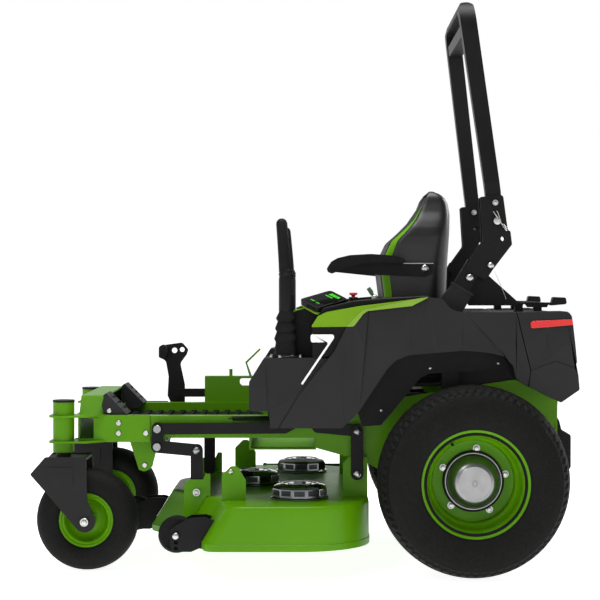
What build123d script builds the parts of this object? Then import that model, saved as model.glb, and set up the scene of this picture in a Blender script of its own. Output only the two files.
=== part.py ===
from build123d import *
import os
from math import atan2, cos, degrees, hypot, pi, radians, sin

# Battery zero-turn mower with a 48 inch (1.22 m) deck.  Millimetres, +Z up, ground at Z = 0.
# The front faces -X, the driver's left is -Y, and the origin is under the middle of the machine.

# ---- driving dimensions -------------------------------------------------------------------
DRIVE_X, DRIVE_Y, DRIVE_R, DRIVE_W = 538, 505, 305, 241        # 24 x 9.5-12 drive tyre
CASTER_Y, CASTER_R, CASTER_W = 346, 165, 127                   # 13 x 5-6 caster tyre
STEM_X, TRAIL = -780, 79                                       # caster stem and its trail
AXLE_X = STEM_X + TRAIL
SLEEVE_BOTTOM, SLEEVE_TOP, SLEEVE_R = 382, 548, 34.5
FORK_TOP = 368
RAIL_IN, RAIL_OUT, RAIL_BOTTOM, RAIL_TOP = 285, 335, 426, 498  # frame rails, |Y| and Z
RAIL_FRONT, RAIL_REAR = -640, 560
PLATE = 6                                                      # frame plate thickness
FRONT_PIVOT, FRONT_PIN = (-475, 399), (-473, 458)              # deck lift, (X, Z)
FRONT_END, DECK_FRONT_BOLT = (-347, 387), (-347, 251)
REAR_SHIFT = (522, 63)                                         # rear linkage from the front one
REAR_PIVOT = (FRONT_PIVOT[0] + REAR_SHIFT[0], FRONT_PIVOT[1] + REAR_SHIFT[1])
REAR_PIN = (FRONT_PIN[0] + REAR_SHIFT[0], FRONT_PIN[1] + REAR_SHIFT[1])
REAR_END = (FRONT_END[0] + REAR_SHIFT[0], FRONT_END[1] + REAR_SHIFT[1])
DECK_REAR_BOLT = (175, 312)
LINK_PIN = (-460, 532)                                         # pedal to height link
SHAFT_R, FIT = 12, 0.05                                        # pins and shafts, radial fit
DECK_BOTTOM, DECK_TOP, DECK_SIDE, DECK_WALL = 98, 238, 618, 4
BLADES = [(-11, -395), (-174, 0), (-11, 395)]                  # spindle places, (X, Y)
BLADE_LENGTH, BLADE_Z = 419, 112
SCALP_R, SCALP_Z = 58, 137
SCALP_WHEELS = [(-399, -500), (-576, 0), (-399, 500)]          # (X, Y)
PANEL_IN, PANEL_OUT, PANEL_WALL = 337, 500, 4                  # side panels, |Y|
ROPS_Y, ROPS_TUBE = 355, 40
ROPS_HINGE, ROPS_LOCK = (621, 1191), (627, 1132)
LEVER_X, LEVER_Y, CONSOLE_TOP = -55, 420, 692
KNOB = (163, -350)                                             # blade switch, (X, Y)
RACK_X = 765                                                   # middle of the rack's bolt holes
SEAT_HINGE = (120, 640)
ARM_PIVOT = (402, 980)


# ---- helpers ------------------------------------------------------------------------------
def box(x0, x1, y0, y1, z0, z1):
    return Pos((x0 + x1) / 2, (y0 + y1) / 2, (z0 + z1) / 2) * Box(x1 - x0, y1 - y0, z1 - z0)


def rod_x(x0, x1, y, z, r):
    return Pos((x0 + x1) / 2, y, z) * Rot(0, 90, 0) * Cylinder(r, x1 - x0)


def rod_y(y0, y1, place, r):
    return Pos(place[0], (y0 + y1) / 2, place[1]) * Rot(90, 0, 0) * Cylinder(r, abs(y1 - y0))


def rod_z(z0, z1, place, r):
    return Pos(place[0], place[1], (z0 + z1) / 2) * Cylinder(r, z1 - z0)


def prism(corners, radius, reach):
    """The closed outline through the corners, rounded, pushed along reach."""
    if radius:
        outline = FilletPolyline(*corners, radius=radius, close=True)
    else:
        outline = Polyline(*corners, close=True)
    way = Vector(*reach)
    return extrude(make_face(outline), amount=way.length, dir=way.normalized())


def plate(points, y0, y1, radius=0):
    """Side-view outline (X, Z), from y0 to y1."""
    return prism([(x, y0, z) for x, z in points], radius, (0, y1 - y0, 0))


def sheet(points, z0, z1, radius=0):
    """Plan outline (X, Y), from z0 to z1."""
    return prism([(x, y, z0) for x, y in points], radius, (0, 0, z1 - z0))


def front(points, x0, x1, radius=0):
    """Front-view outline (Y, Z), from x0 to x1."""
    return prism([(x0, y, z) for y, z in points], radius, (x1 - x0, 0, 0))


def link(a, b, half_width, y0, y1):
    """Flat bar with round ends between two side-view points."""
    turn = degrees(atan2(b[1] - a[1], b[0] - a[0]))
    length = hypot(b[0] - a[0], b[1] - a[1])
    middle = Pos((a[0] + b[0]) / 2, (y0 + y1) / 2, (a[1] + b[1]) / 2)
    bar = middle * Rot(0, -turn, 0) * Box(length, abs(y1 - y0), 2 * half_width)
    return bar + rod_y(y0, y1, a, half_width) + rod_y(y0, y1, b, half_width)


def turned(profile, x, y, z):
    """Solid of revolution about a Y axis through (x, z); profile is (radius, offset in Y)."""
    return Pos(x, y, z) * revolve(make_face(Polyline(*profile, close=True)), Axis.Y, 360)


def other_side(shape):
    return mirror(shape, about=Plane.XZ)


def both(*shapes):
    return [copy for shape in shapes for copy in (shape, other_side(shape))]


def solids_of(shapes):
    return [solid for shape in shapes for solid in shape.solids()]


def cut(shape, tools):
    for tool in tools:
        shape = shape - tool
    return shape


def save(name, *shapes):
    export_step(Compound(children=solids_of(shapes)), f"parts/{name}.step")


def dome_bolt(place, face, out, r=9, height=7, shank=7):
    """Bolt along Y: domed head proud of face, shank sunk into it; out is -1 or +1."""
    head = rod_y(face, face + out * height, place, r)
    head = fillet(head.edges().sort_by(Axis.Y)[0 if out < 0 else -1], 3)
    return head + rod_y(face - out * shank, face, place, r * 0.55)


def inset(points, wall):
    """The closed outline moved inwards by wall, with mitred corners."""
    area = sum(a[0] * b[1] - b[0] * a[1] for a, b in zip(points, points[1:] + points[:1]))
    turn = 1 if area > 0 else -1
    moved = []
    for before, here, after in zip(points[-1:] + points[:-1], points, points[1:] + points[:1]):
        normals = []
        for a, b in ((before, here), (here, after)):
            length = hypot(b[0] - a[0], b[1] - a[1])
            normals.append((-turn * (b[1] - a[1]) / length, turn * (b[0] - a[0]) / length))
        (ax, az), (bx, bz) = normals
        reach = wall / (1 + ax * bx + az * bz)
        moved.append((here[0] + reach * (ax + bx), here[1] + reach * (az + bz)))
    return moved


def shell(outline, wall, y0, y1):
    """Moulded cover: the outline from y0 to y1 with its outer face at y1, open at y0."""
    return plate(outline, y0, y1) - plate(inset(outline, wall), y0 - 1, y1 - wall)


# ---- frame --------------------------------------------------------------------------------
SIDE_BOLTS = [(-602, 475), (-602, 442), (-513, 442)]
REST_BOLT = (-634, 514)


def frame_bolts():
    left = [dome_bolt(place, -RAIL_OUT - PLATE, -1) for place in SIDE_BOLTS]
    left.append(dome_bolt(REST_BOLT, -328, -1, 8, 6, 6))
    left.append(dome_bolt((-521, 334), -300, -1))
    return both(*left)


def chassis_frame(bolts):
    """Rails, side plates, tray and cross members, welded face to face."""
    rail = box(RAIL_FRONT, RAIL_REAR, RAIL_IN, RAIL_OUT, RAIL_BOTTOM, RAIL_TOP)
    tube = rail - box(RAIL_FRONT + 6, RAIL_REAR - 6, RAIL_IN + 5, RAIL_OUT - 5, RAIL_BOTTOM + 5, RAIL_TOP - 5)
    nose = plate([(-683, 419), (-683, 490), (-640, 501), (-500, 501), (-500, 413), (-640, 413)],
                 RAIL_OUT, RAIL_OUT + PLATE)
    ear = plate([(-574, RAIL_BOTTOM), (-540, 318), (-521, 311), (-497, 325), (-485, 372), (-485, RAIL_BOTTOM)],
                294, 300, [0, 6, 20, 20, 10, 0])
    bearing = plate([(-500, RAIL_BOTTOM), (-500, 385), (-475, 374), (-450, 385), (-450, RAIL_BOTTOM)],
                    318, 328, [0, 10, 20, 10, 0])
    rear = plate([(42, RAIL_BOTTOM), (42, 393), (114, 373), (192, 353), (251, 321), (330, 262), (720, 262),
                  (800, 380), (823, 481), (830, 540), (830, 602), (700, 618), (332, 560), (220, RAIL_TOP)],
                 RAIL_OUT - PLATE, RAIL_OUT) - rail
    parts = both(tube, nose, ear, bearing, rear)
    wide = RAIL_OUT - PLATE
    parts.append(box(-177, 42, -wide, wide, 387, 391))
    for x in (-177, 36):
        parts.append(box(x, x + PLATE, -wide, wide, 391, RAIL_BOTTOM))
    for x in (150, 500):
        parts.append(box(x, x + 50, -RAIL_IN, RAIL_IN, RAIL_BOTTOM, RAIL_TOP))
    parts.append(box(824, 830, -wide, wide, 400, 540))
    shafts = [rod_y(-400, 400, place, SHAFT_R + FIT) for place in (FRONT_PIVOT, REAR_PIVOT)]
    return [cut(part, shafts + bolts) for part in parts]


def front_axle_beam():
    beam = box(-735, RAIL_FRONT, -RAIL_OUT, RAIL_OUT, 419, 496)
    beam -= box(-729, RAIL_FRONT, -RAIL_OUT, RAIL_OUT, 424, 491)
    beam += box(-735, -729, -RAIL_OUT, RAIL_OUT, 419, 496)
    outline = [(-825, -391), (-825, 391), (-700, 391), (RAIL_FRONT, RAIL_OUT), (RAIL_FRONT, -RAIL_OUT),
               (-700, -391)]
    for z in (413, 496):
        flange = sheet(outline, z, z + 6, [30, 30, 20, 0, 0, 20])
        flange -= box(-830, -745, -300, 300, z - 1, z + 7)
        beam += flange
    hump = front([(-318, 502), (-270, 560), (270, 560), (318, 502)], -733, -655, [0, 16, 16, 0])
    hump -= front([(-311, 501), (-267, 555), (267, 555), (311, 501)], -728, -650, [0, 12, 12, 0])
    beam += hump
    for side in (-1, 1):
        stem = (STEM_X, side * CASTER_Y)
        beam += rod_z(SLEEVE_BOTTOM, SLEEVE_TOP - 4, stem, SLEEVE_R)
        beam -= rod_z(0, 700, stem, SLEEVE_R - 8)
        beam -= rod_y(side * 370, side * 395, (-690, 520), 4)
    for side in (-1, 1):
        beam -= box(-690, RAIL_FRONT + 1, side * RAIL_OUT - 60, side * RAIL_OUT + 60, 424, 491)
    return beam


def caster_bearings():
    rings = []
    for side in (-1, 1):
        stem = (STEM_X, side * CASTER_Y)
        for z in (SLEEVE_BOTTOM, SLEEVE_TOP - 22):
            rings.append(rod_z(z, z + 18, stem, SLEEVE_R - 8) - rod_z(z, z + 18, stem, 14 + FIT))
        rings.append(rod_z(SLEEVE_TOP - 4, SLEEVE_TOP + 3, stem, SLEEVE_R + 1))
    return rings


def floor_pan():
    pan = box(RAIL_FRONT, -150, -RAIL_IN, RAIL_IN, 458, 462)
    mat = box(-618, -160, -270, 270, 462, 467)
    for row in range(11):
        x = -606 + 40 * row
        mat += box(x, x + 17, -262, 262, 467, 474)
    return [pan, mat]


def foot_rest(y0, y1, bolts, frame):
    """Sloping foot slab with three grooves, on two cheeks."""
    slab = plate([(-645, 572), (-575, 502), (-585, 490), (-657, 562)], y0, y1, [5, 5, 4, 6])
    for step in (0.25, 0.5, 0.75):
        slab -= Pos(-645 + 70 * step, (y0 + y1) / 2, 572 - 70 * step) * Rot(0, 45, 0) * Box(9, y1 - y0 - 16, 7)
    cheek = [(-652, 560), (-659, 532), (-652, 503), (-632, 485), (-598, 484), (-582, 493)]
    rest = slab
    for low in (y0, y1 - 5):
        rest += plate(cheek, low, low + 5, [0, 20, 16, 16, 8, 4])
    rest += box(-640, -592, y0, y1, 484, 489)
    return cut(rest, bolts + frame)


def lift_tower():
    tower = box(-362, -180, 292, RAIL_OUT, RAIL_TOP, 594) - box(-363, -184, 296, 331, RAIL_TOP - 1, 590)
    tower -= plate([(-228, 558), (-236, 566), (-236, 580), (-228, 586), (-170, 586), (-170, 558)], 280, 350)
    pin = rod_z(590, 619, (-268, 313), 6) + rod_z(586, 590, (-268, 313), 11)
    tab = plate([(-209, 641), (-206, 644), (-159, 690), (-164, 694), (-215, 645), (-200, 594), (-192, 594)],
                300, 326)
    return [cut(tower, [rod_z(585, 595, (-268, 313), 6)]), pin, tab - tower]


# ---- casters ------------------------------------------------------------------------------
def caster_fork(side):
    """Fork, stem and axle bolt of one caster."""
    y = side * CASTER_Y
    axle_place, eye = (AXLE_X, CASTER_R), 34
    leg_outline = [(-828, 372), (-876, 317), (-831, 266), (-727, 143), axle_place, (-670, 178), (-693, 233),
                   (-696, 372)]
    shield_outline = [(-822, 340), (-822, 300), (-795, 268), (-750, 268), (-738, 290), (-738, 340)]
    parts = [box(-826, -698, y - 76, y + 76, FORK_TOP - 8, FORK_TOP),
             plate([(-826, 366), (-870, 317), (-866, 313), (-820, 360)], y - 76, y + 76)]
    parts[1] -= parts[0]
    stem = rod_z(FORK_TOP, SLEEVE_TOP - 8, (STEM_X, y), 14) + rod_z(FORK_TOP, SLEEVE_BOTTOM - 0.5, (STEM_X, y), 24)
    axle = rod_y(y - 94, y + 94, axle_place, 8)
    for face in (y - 94, y + 84):
        axle += rod_y(face, face + 10, axle_place, 11)
    for way in (-1, 1):
        inner, outer, proud = y + way * 76, y + way * 84, y + way * 86
        low, high = min(inner, outer), max(inner, outer)
        leg = plate(leg_outline, low, high, [8, 4, 40, 0, 0, 0, 20, 8]) + rod_y(low, high, axle_place, eye)
        parts.append(leg - axle)
        parts.append(plate(shield_outline, min(outer, proud), max(outer, proud), [4, 20, 26, 26, 20, 4]))
    return parts + [stem, axle]


def tyre(x, y, z, r, width, bead_r, flange_r, bead_half):
    """Tyre carcass whose beads sit between the rim flanges, open towards the rim."""
    half = width / 2
    wall = 0.06 * r
    edge = [(bead_r, bead_half), (flange_r + 1, bead_half), (flange_r + 1, bead_half + 7),
            (flange_r + 0.35 * (r - flange_r), half), (flange_r + 0.62 * (r - flange_r), half),
            (r - 0.19 * (r - flange_r), half - 0.05 * width), (r - 0.08 * (r - flange_r), half - 0.16 * width),
            (r - 0.02 * (r - flange_r), half - 0.32 * width), (r, 0.1 * width)]
    inner = [(bead_r - 1, bead_half - wall), (flange_r + 1, bead_half - wall),
             (flange_r + 0.35 * (r - flange_r), half - wall), (flange_r + 0.6 * (r - flange_r), half - wall),
             (r - 1.5 * wall, half - 0.25 * width)]
    solid = turned(edge + [(a, -b) for a, b in reversed(edge)], x, y, z)
    return solid - turned(inner + [(a, -b) for a, b in reversed(inner)], x, y, z)


def caster_rim(y):
    profile = [(80 - 5, -48), (80, -48), (88, -48), (88, -44), (80 - 0.4, -44), (80 - 0.4, 44), (88, 44), (88, 48),
               (75, 48), (75, 6), (26, 6), (24, 68), (8 + FIT, 68), (8 + FIT, -68), (24, -68), (26, -2), (75, -2)]
    return turned(profile, AXLE_X, y, CASTER_R)


# ---- drive wheels -------------------------------------------------------------------------
LUGS = [(102.5 * cos(radians(90 + 72 * i)), 102.5 * sin(radians(90 + 72 * i))) for i in range(5)]


def drive_rim():
    """Right-hand rim, hub cap and lug nuts; the outside faces +Y."""
    rim = turned([(146, -104), (170, -104), (170, -99), (151.6, -99), (151.6, 99), (170, 99), (170, 104),
                  (146, 104), (144, 50), (132, 24), (130, -4), (25 + FIT, -4), (25 + FIT, -32), (60, -32),
                  (60, -14), (138, -14), (146, 0)], DRIVE_X, DRIVE_Y, DRIVE_R)
    cap = turned([(0, -2), (94, -4), (94, 6), (84, 8), (80, 52), (76, 58), (54, 58), (52, 64), (0, 64)],
                 DRIVE_X, DRIVE_Y, DRIVE_R)
    cap -= turned([(0, -4), (78, -4), (76, 50), (0, 50)], DRIVE_X, DRIVE_Y, DRIVE_R)
    nuts = []
    for dx, dz in LUGS:
        nuts.append(rod_y(DRIVE_Y - 4, DRIVE_Y + 9, (DRIVE_X + dx, DRIVE_R + dz), 7.4))
    return [rim, cap] + nuts


def wheel_motors():
    body = rod_y(RAIL_OUT, 462, (DRIVE_X, DRIVE_R), 88)
    body += rod_y(460, 472, (DRIVE_X, DRIVE_R), 60)
    body += rod_y(470, 500, (DRIVE_X, DRIVE_R), 25)
    return both(fillet(body.edges().filter_by(GeomType.CIRCLE).group_by(Axis.Y)[1], 6))


# ---- body panels --------------------------------------------------------------------------
ACCENT = [(25, 791), (48, 826), (76, 839), (174, 857), (356, 880), (346, 859), (214, 845), (192, 832), (163, 793)]
PANEL = [(-171, 525), (-171, 618), (-125, CONSOLE_TOP), (25, CONSOLE_TOP), (25, 791), (163, 793), (192, 832),
         (214, 845), (346, 859), (356, 880), (395, 884), (444, 881), (452, 838), (676, 838), (699, 735),
         (720, 650), (712, 606), (698, 622), (666, 668), (647, 696), (595, 709), (516, 717), (411, 709),
         (334, 700), (294, 686), (266, 658), (173, 517), (124, 471), (-104, 469), (-108, 525)]
CORNER = [(677, 838), (844, 840), (853, 826), (857, 796), (868, 681), (859, 663), (872, 640), (876, 593),
          (817, 552), (713, 604), (721, 650), (700, 735)]
LIGHT = [(722, 808), (854, 816), (856, 796), (726, 787)]
LINER = [(190, 470), (251, 474), (378, 626), (405, 639), (640, 653), (662, 622), (690, 625), (664, 666),
         (645, 694), (595, 707), (516, 715), (411, 707), (334, 698), (296, 685), (268, 657), (176, 517)]


def side_panel():
    """Right-hand panel, its accent strip, the console covers and the lever bearings."""
    panel = shell(PANEL, PANEL_WALL, PANEL_IN, PANEL_OUT)
    panel -= box(380, 610, PANEL_IN - 1, 390, 698, 900)
    panel -= box(-125, 230, PANEL_IN - 1, 425, 440, 560)
    panel -= box(LEVER_X - 36, LEVER_X + 36, LEVER_Y - 20, LEVER_Y + 20, CONSOLE_TOP - 6, CONSOLE_TOP + 1)
    accent = plate(ACCENT, PANEL_IN, PANEL_OUT)
    cowl = plate([(-33, CONSOLE_TOP), (-33, 843), (15, 852), (24, 790), (24, CONSOLE_TOP)], PANEL_IN, 370,
                 [0, 14, 8, 0, 0])
    cover = plate([(48, 827), (70, 870), (160, 880), (240, 868), (174, 858), (76, 840)], PANEL_IN, 425)
    ring = rod_z(CONSOLE_TOP, CONSOLE_TOP + 8, (LEVER_X, LEVER_Y), 50)
    ring -= rod_z(CONSOLE_TOP - 1, CONSOLE_TOP + 9, (LEVER_X, LEVER_Y), 41)
    ring -= box(-30, 40, PANEL_IN, 371, CONSOLE_TOP - 1, CONSOLE_TOP + 9)
    pieces = [panel, accent, cowl, cover, ring]
    for y in (LEVER_Y - 30, LEVER_Y + 22):
        ear = box(LEVER_X - 14, LEVER_X + 14, y, y + 8, CONSOLE_TOP - 30, CONSOLE_TOP - PANEL_WALL)
        pieces.append(ear - rod_y(y - 1, y + 9, (LEVER_X, CONSOLE_TOP - 12), 8 + FIT))
    return pieces


def rear_corner_panels():
    light = plate(LIGHT, PANEL_OUT - 12, PANEL_OUT + 3)
    corner = shell(CORNER, PANEL_WALL, PANEL_IN, PANEL_OUT) - light
    return both(corner), both(light)


def arch_liners():
    liner = plate(LINER, 406, 410)
    return both(liner)


def rear_hood():
    hood = box(505, 840, -324, 324, 545, 836) - box(509, 836, -320, 320, 500, 832)
    for z in range(600, 780, 24):
        hood -= box(830, 850, -220, 220, z, z + 10)
    return hood


def battery_modules():
    packs = []
    for row in range(2):
        for column in range(3):
            x, y = 548 + 140 * row, -200 + 200 * column
            module = box(x, x + 120, y - 85, y + 85, 550, 770)
            module += box(x + 20, x + 100, y - 50, y + 50, 770, 785)
            packs.append(module)
    tray = box(540, 822, -300, 300, 544, 550)
    controllers = [box(240, 420, side * 150 - 70, side * 150 + 70, 510, 560) for side in (-1, 1)]
    base = box(215, 480, -RAIL_IN + 1, RAIL_IN - 1, 505, 510)
    return packs + [tray, base] + controllers


def rear_bumper():
    outline = [(831, 492), (838, 481), (845, 452), (876, 434), (876, 330), (862, 304), (831, 304)]
    bar = plate(outline, -318, 318, [0, 8, 8, 12, 12, 8, 0])
    bar -= plate([(831, 470), (836, 446), (866, 428), (866, 334), (856, 312), (831, 312)], -310, 310)
    return bar


# ---- seat ---------------------------------------------------------------------------------
def seat_base():
    pan = box(90, 500, -262, 262, 590, 600)
    pan += box(90, 96, -262, 262, 510, 590)
    pan += box(494, 500, -262, 262, 510, 590)
    rails = [box(130, 460, side * 170 - 15, side * 170 + 15, 600, 612) for side in (-1, 1)]
    return [pan] + rails


def seat_slider():
    frame = box(110, 450, -200, 200, 614, 624) - box(160, 400, -140, 140, 600, 630)
    for side in (-1, 1):
        y = side * 205
        frame += box(105, 135, min(y, y - side * 8), max(y, y - side * 8), 614, 655)
    frame -= rod_y(-300, 300, SEAT_HINGE, 6 + FIT)
    return frame


def seat_cushion():
    cushion = plate([(80, 668), (80, 735), (110, 757), (300, 742), (395, 748), (395, 668)], -250, 250,
                    [10, 24, 60, 120, 6, 6])
    pan = box(100, 470, -190, 190, 656, 667)
    pan += box(108, 132, -190, 190, 630, 657)
    pan -= box(100, 140, -175, 175, 620, 657)
    pin = rod_y(-212, 212, SEAT_HINGE, 6)
    return [cushion, cut(pan, [pin]), pin]


def seat_back():
    shell_side = [(414, 1240), (480, 1221), (496, 1165), (487, 991), (474, 700), (474, 668), (440, 668),
                  (440, 760), (400, 860), (392, 960), (402, 1060), (418, 1140)]
    back_shell = plate(shell_side, -232, 232, [20, 30, 60, 200, 8, 4, 4, 60, 100, 100, 100, 30])
    wings = plate([(389, 1193), (361, 1143), (292, 1071), (264, 963), (275, 877), (300, 800), (400, 790),
                   (392, 960), (402, 1060)], 232, 250, [10, 20, 30, 60, 30, 20, 0, 0, 0])
    pad = plate([(412, 1232), (380, 1190), (345, 1110), (325, 1010), (330, 880), (345, 765), (395, 760),
                 (399, 859), (391, 960), (401, 1061), (416, 1139)], -230, 230,
                [8, 40, 80, 100, 100, 30, 0, 100, 100, 100, 0])
    return [back_shell, pad] + both(wings)


def armrest(side):
    y = side * 288
    pad = plate([(81, 989), (155, 1025), (290, 1023), (337, 1012), (337, 994), (131, 980), (99, 968)],
                y - 26, y + 26, [12, 60, 20, 8, 8, 60, 10])
    inner = side * 262
    arm = plate([(150, 972), (260, 955), (402, 956), (426, 970), (426, 990), (402, 1004), (340, 993), (150, 979)],
                min(inner, inner - side * 8), max(inner, inner - side * 8), [0, 20, 10, 10, 10, 10, 0, 0])
    arm += box(150, 336, min(y, inner - side * 8), max(y, inner - side * 8), 972, 979)
    arm -= rod_y(-300, 300, ARM_PIVOT, 9 + FIT)
    return [pad - arm, arm]


# ---- controls -----------------------------------------------------------------------------
def lever_boot(y):
    """Rubber bellows of four folds, hollow, around the foot of a lever."""
    folds, bottom, top = 4, 716, 832
    pitch = (top - bottom) / folds
    boot = rod_z(top - 4, top, (LEVER_X, y), 20)
    for i in range(folds):
        z, wide = bottom + i * pitch, 41 - 2.5 * i
        boot += Pos(LEVER_X, y, z + pitch / 4) * Cone(wide - 6, wide, pitch / 2)
        boot += Pos(LEVER_X, y, z + 3 * pitch / 4) * Cone(wide, wide - 8, pitch / 2)
    hollow = Pos(LEVER_X, y, (bottom + 800) / 2) * Cone(33, 19, 800 - bottom)
    return boot - hollow - rod_z(700, 840, (LEVER_X, y), 13)


def lever(side):
    y = side * LEVER_Y
    tube = rod_z(CONSOLE_TOP + 30, 1000, (LEVER_X, y), 13)
    foot = Pos(LEVER_X, y, CONSOLE_TOP + 21) * Box(30, 22, 30)
    foot -= rod_x(-200, 200, y, CONSOLE_TOP + 18, 6 + FIT)
    grip = Pos(LEVER_X, y, 950) * Rot(side * 10, -4, 0) * Pos(0, 0, 95) * Cylinder(18, 166)
    grip = fillet(grip.edges().sort_by(Axis.Z)[-1], 16)
    collar = rod_z(836, 950, (LEVER_X, y), 22) - rod_z(800, 960, (LEVER_X, y), 13)
    stick = tube + foot
    return [stick, grip - rod_z(850, 1000, (LEVER_X, y), 13) - collar, collar, lever_boot(y)]


def lever_pivot(side):
    y = side * LEVER_Y
    yoke = box(LEVER_X - 24, LEVER_X + 24, y - 14, y + 14, CONSOLE_TOP - 22, CONSOLE_TOP - 2)
    for x in (LEVER_X - 24, LEVER_X + 16):
        yoke += box(x, x + 8, y - 12, y + 12, CONSOLE_TOP - 4, CONSOLE_TOP + 28)
    yoke += rod_x(LEVER_X - 24, LEVER_X + 24, y, CONSOLE_TOP + 18, 6)
    yoke += rod_y(y - 32, y + 32, (LEVER_X, CONSOLE_TOP - 12), 8)
    return yoke


# ---- roll bar -----------------------------------------------------------------------------
def rops_lower_posts():
    cheek_outline = [(572, 1210), (647, 1216), (662, 1104), (671, 1098), (676, 1056), (588, 941), (520, 982),
                     (581, 1066)]
    rounding = [6, 8, 4, 4, 4, 4, 4, 20]
    cheek_out = plate(cheek_outline, ROPS_Y + 21, ROPS_Y + 27, rounding)
    cheek_in = plate(cheek_outline, ROPS_Y - 27, ROPS_Y - 21, rounding)
    back = plate([(658, 1085), (668, 1057), (592, 940), (586, 944), (658, 1060)], ROPS_Y - 21, ROPS_Y + 21)
    leg = plate([(450, 500), (450, 868), (535, 1008), (590, 1000), (518, 862), (505, 836), (505, 500)],
                ROPS_Y - 20, ROPS_Y + 20)
    leg -= plate([(455, 505), (455, 866), (537, 1000), (580, 992), (512, 862), (500, 838), (500, 505)],
                 ROPS_Y - 15, ROPS_Y + 15)
    gusset = plate([(540, 975), (600, 960), (703, 868), (703, 858), (540, 858), (525, 880)],
                   ROPS_Y - 27, ROPS_Y - 21, [0, 0, 6, 6, 0, 0])
    cheek_in += gusset
    hinge = rod_y(ROPS_Y - 33, ROPS_Y + 33, ROPS_HINGE, 10)
    hinge += rod_y(ROPS_Y + 27, ROPS_Y + 35, ROPS_HINGE, 12) + rod_y(ROPS_Y - 35, ROPS_Y - 27, ROPS_HINGE, 12)
    lock_hole = rod_y(300, 420, ROPS_LOCK, 8 + FIT)
    open_hole = rod_y(300, 420, (647, 1075), 8)
    bolts = [dome_bolt((606, 988), ROPS_Y + 27, 1, 12, 9, 6), dome_bolt((539, 948), ROPS_Y + 20, 1, 13, 9, 5)]
    cheeks = [cut(piece, [hinge, lock_hole, open_hole] + bolts) for piece in (cheek_out, cheek_in)]
    return both(*cheeks, back - cheek_out - cheek_in, cut(leg, [cheek_out, cheek_in, back] + bolts),
                hinge, *bolts)


def rops_hoop():
    """Hoop of 40 mm tube: legs that lean forward and inward, round top corners and a brace."""
    low, high = 1112, 1868
    side_view = plate([(602, low + 6), (590, 1230), (511, high - 38), (518, high - 8), (545, high), (562, high - 14),
                       (640, 1230), (646, 1160), (644, low), (612, low)], -380, 380,
                      [6, 60, 20, 14, 14, 10, 60, 20, 10, 6])
    outer = [(-375, low - 5), (-375, 1256), (-292, high), (292, high), (375, 1256), (375, low - 5)]
    inner = [(-335, low - 6), (-335, 1253), (-252, high - 40), (252, high - 40), (335, 1253), (335, low - 6)]
    outline = front(outer, 480, 700, [0, 0, 95, 95, 0, 0])
    brace = plate([(524, high - 118), (520, high - 84), (562, high - 84), (570, high - 118)], -380, 380)
    hoop = side_view & (outline - front(inner, 470, 710, [0, 0, 50, 50, 0, 0]))
    hoop += brace & outline
    for y in (-ROPS_Y, ROPS_Y):
        hoop -= rod_y(y - 50, y + 50, ROPS_HINGE, 10 + FIT)
        hoop -= rod_y(y - 50, y + 50, ROPS_LOCK, 8.5)
    return hoop


def lock_pin(side):
    start, end = ROPS_Y + 20.6, ROPS_Y + 40
    pin = rod_y(start, end, ROPS_LOCK, 8) + rod_y(ROPS_Y + 30, ROPS_Y + 36, ROPS_LOCK, 12)
    clip = Pos(ROPS_LOCK[0] + 10, ROPS_Y + 38, ROPS_LOCK[1] - 16) * Rot(0, 30, 0) * Box(4, 3, 46)
    pin += clip
    return pin if side > 0 else other_side(pin)


def rear_rack():
    """Two carrier rails with upturned stops, and the cross bars that join them."""
    rails = []
    for side in (-1, 1):
        y = side * 310
        rail = plate([(676, 868), (676, 862), (800, 862), (812, 858), (858, 862), (861, 868), (858, 884),
                      (816, 886), (812, 868)], y - 18, y + 18, [0, 0, 0, 0, 4, 0, 6, 6, 0])
        rail += plate([(728, 862), (736, 852), (796, 852), (802, 862)], y - 18, y + 18)
        for x in (692, 754):
            rail += box(x, x + 26, y - 14, y + 14, 836, 853 if x > 700 else 862)
        for x in (RACK_X - 25, RACK_X + 25):
            rail -= rod_z(830, 870, (x, y), 5.5)
        rails.append(rail)
    cross = box(700, 712, -292, 292, 863, 868) + box(782, 794, -292, 292, 863, 868)
    return rails + [cross]


# ---- mower deck ---------------------------------------------------------------------------
def deck_outline(front_shift, wall):
    """Plan outline of the deck: straight sides, round rear corners, tapered nose."""
    side, radius = DECK_SIDE - wall, 225 - wall
    move = front_shift + wall
    half = [(-512 + move, 150), (-338 + move, 430), (-304 + move, side)]
    for step in range(19):
        angle = radians(90 - 5 * step)
        half.append((-11 + radius * cos(angle), DECK_SIDE - 225 + radius * sin(angle)))
    return half + [(x, -y) for x, y in reversed(half)]


def deck_skin(wall, bottom, crease, top):
    """Filled deck form: an upright band, then a front that slopes back to the top."""
    band = sheet(deck_outline(0, wall), bottom, crease)
    low = make_face(Polyline(*[(x, y, crease) for x, y in deck_outline(0, wall)], close=True))
    high = make_face(Polyline(*[(x, y, top) for x, y in deck_outline(72, wall)], close=True))
    return band + loft([low, high], ruled=True)


def deck_form():
    return deck_skin(0, DECK_BOTTOM, 120, DECK_TOP)


def deck_shell():
    deck = deck_form() - deck_skin(DECK_WALL, DECK_BOTTOM - 10, 120, DECK_TOP - DECK_WALL)
    deck -= box(-150, 150, 560, 640, DECK_BOTTOM + 6, 214)
    for x, y in BLADES:
        deck -= rod_z(200, 300, (x, y), 14)
    return deck


def discharge_chute():
    top = front([(DECK_SIDE + 1, 232), (DECK_SIDE + 26, 214), (DECK_SIDE + 31, 120), (DECK_SIDE + 25, 120),
                 (DECK_SIDE + 20, 210), (DECK_SIDE + 1, 226)], -145, 145)
    return top + rod_x(-160, 160, DECK_SIDE + 10, 236, 5)


def chute_hinge():
    ears = [box(x, x + 10, DECK_SIDE - 8, DECK_SIDE + 17, 229, 243) for x in (-157, 147)]
    return [ear - rod_x(-200, 200, DECK_SIDE + 10, 236, 5 + FIT) - deck_form() for ear in ears]


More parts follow.
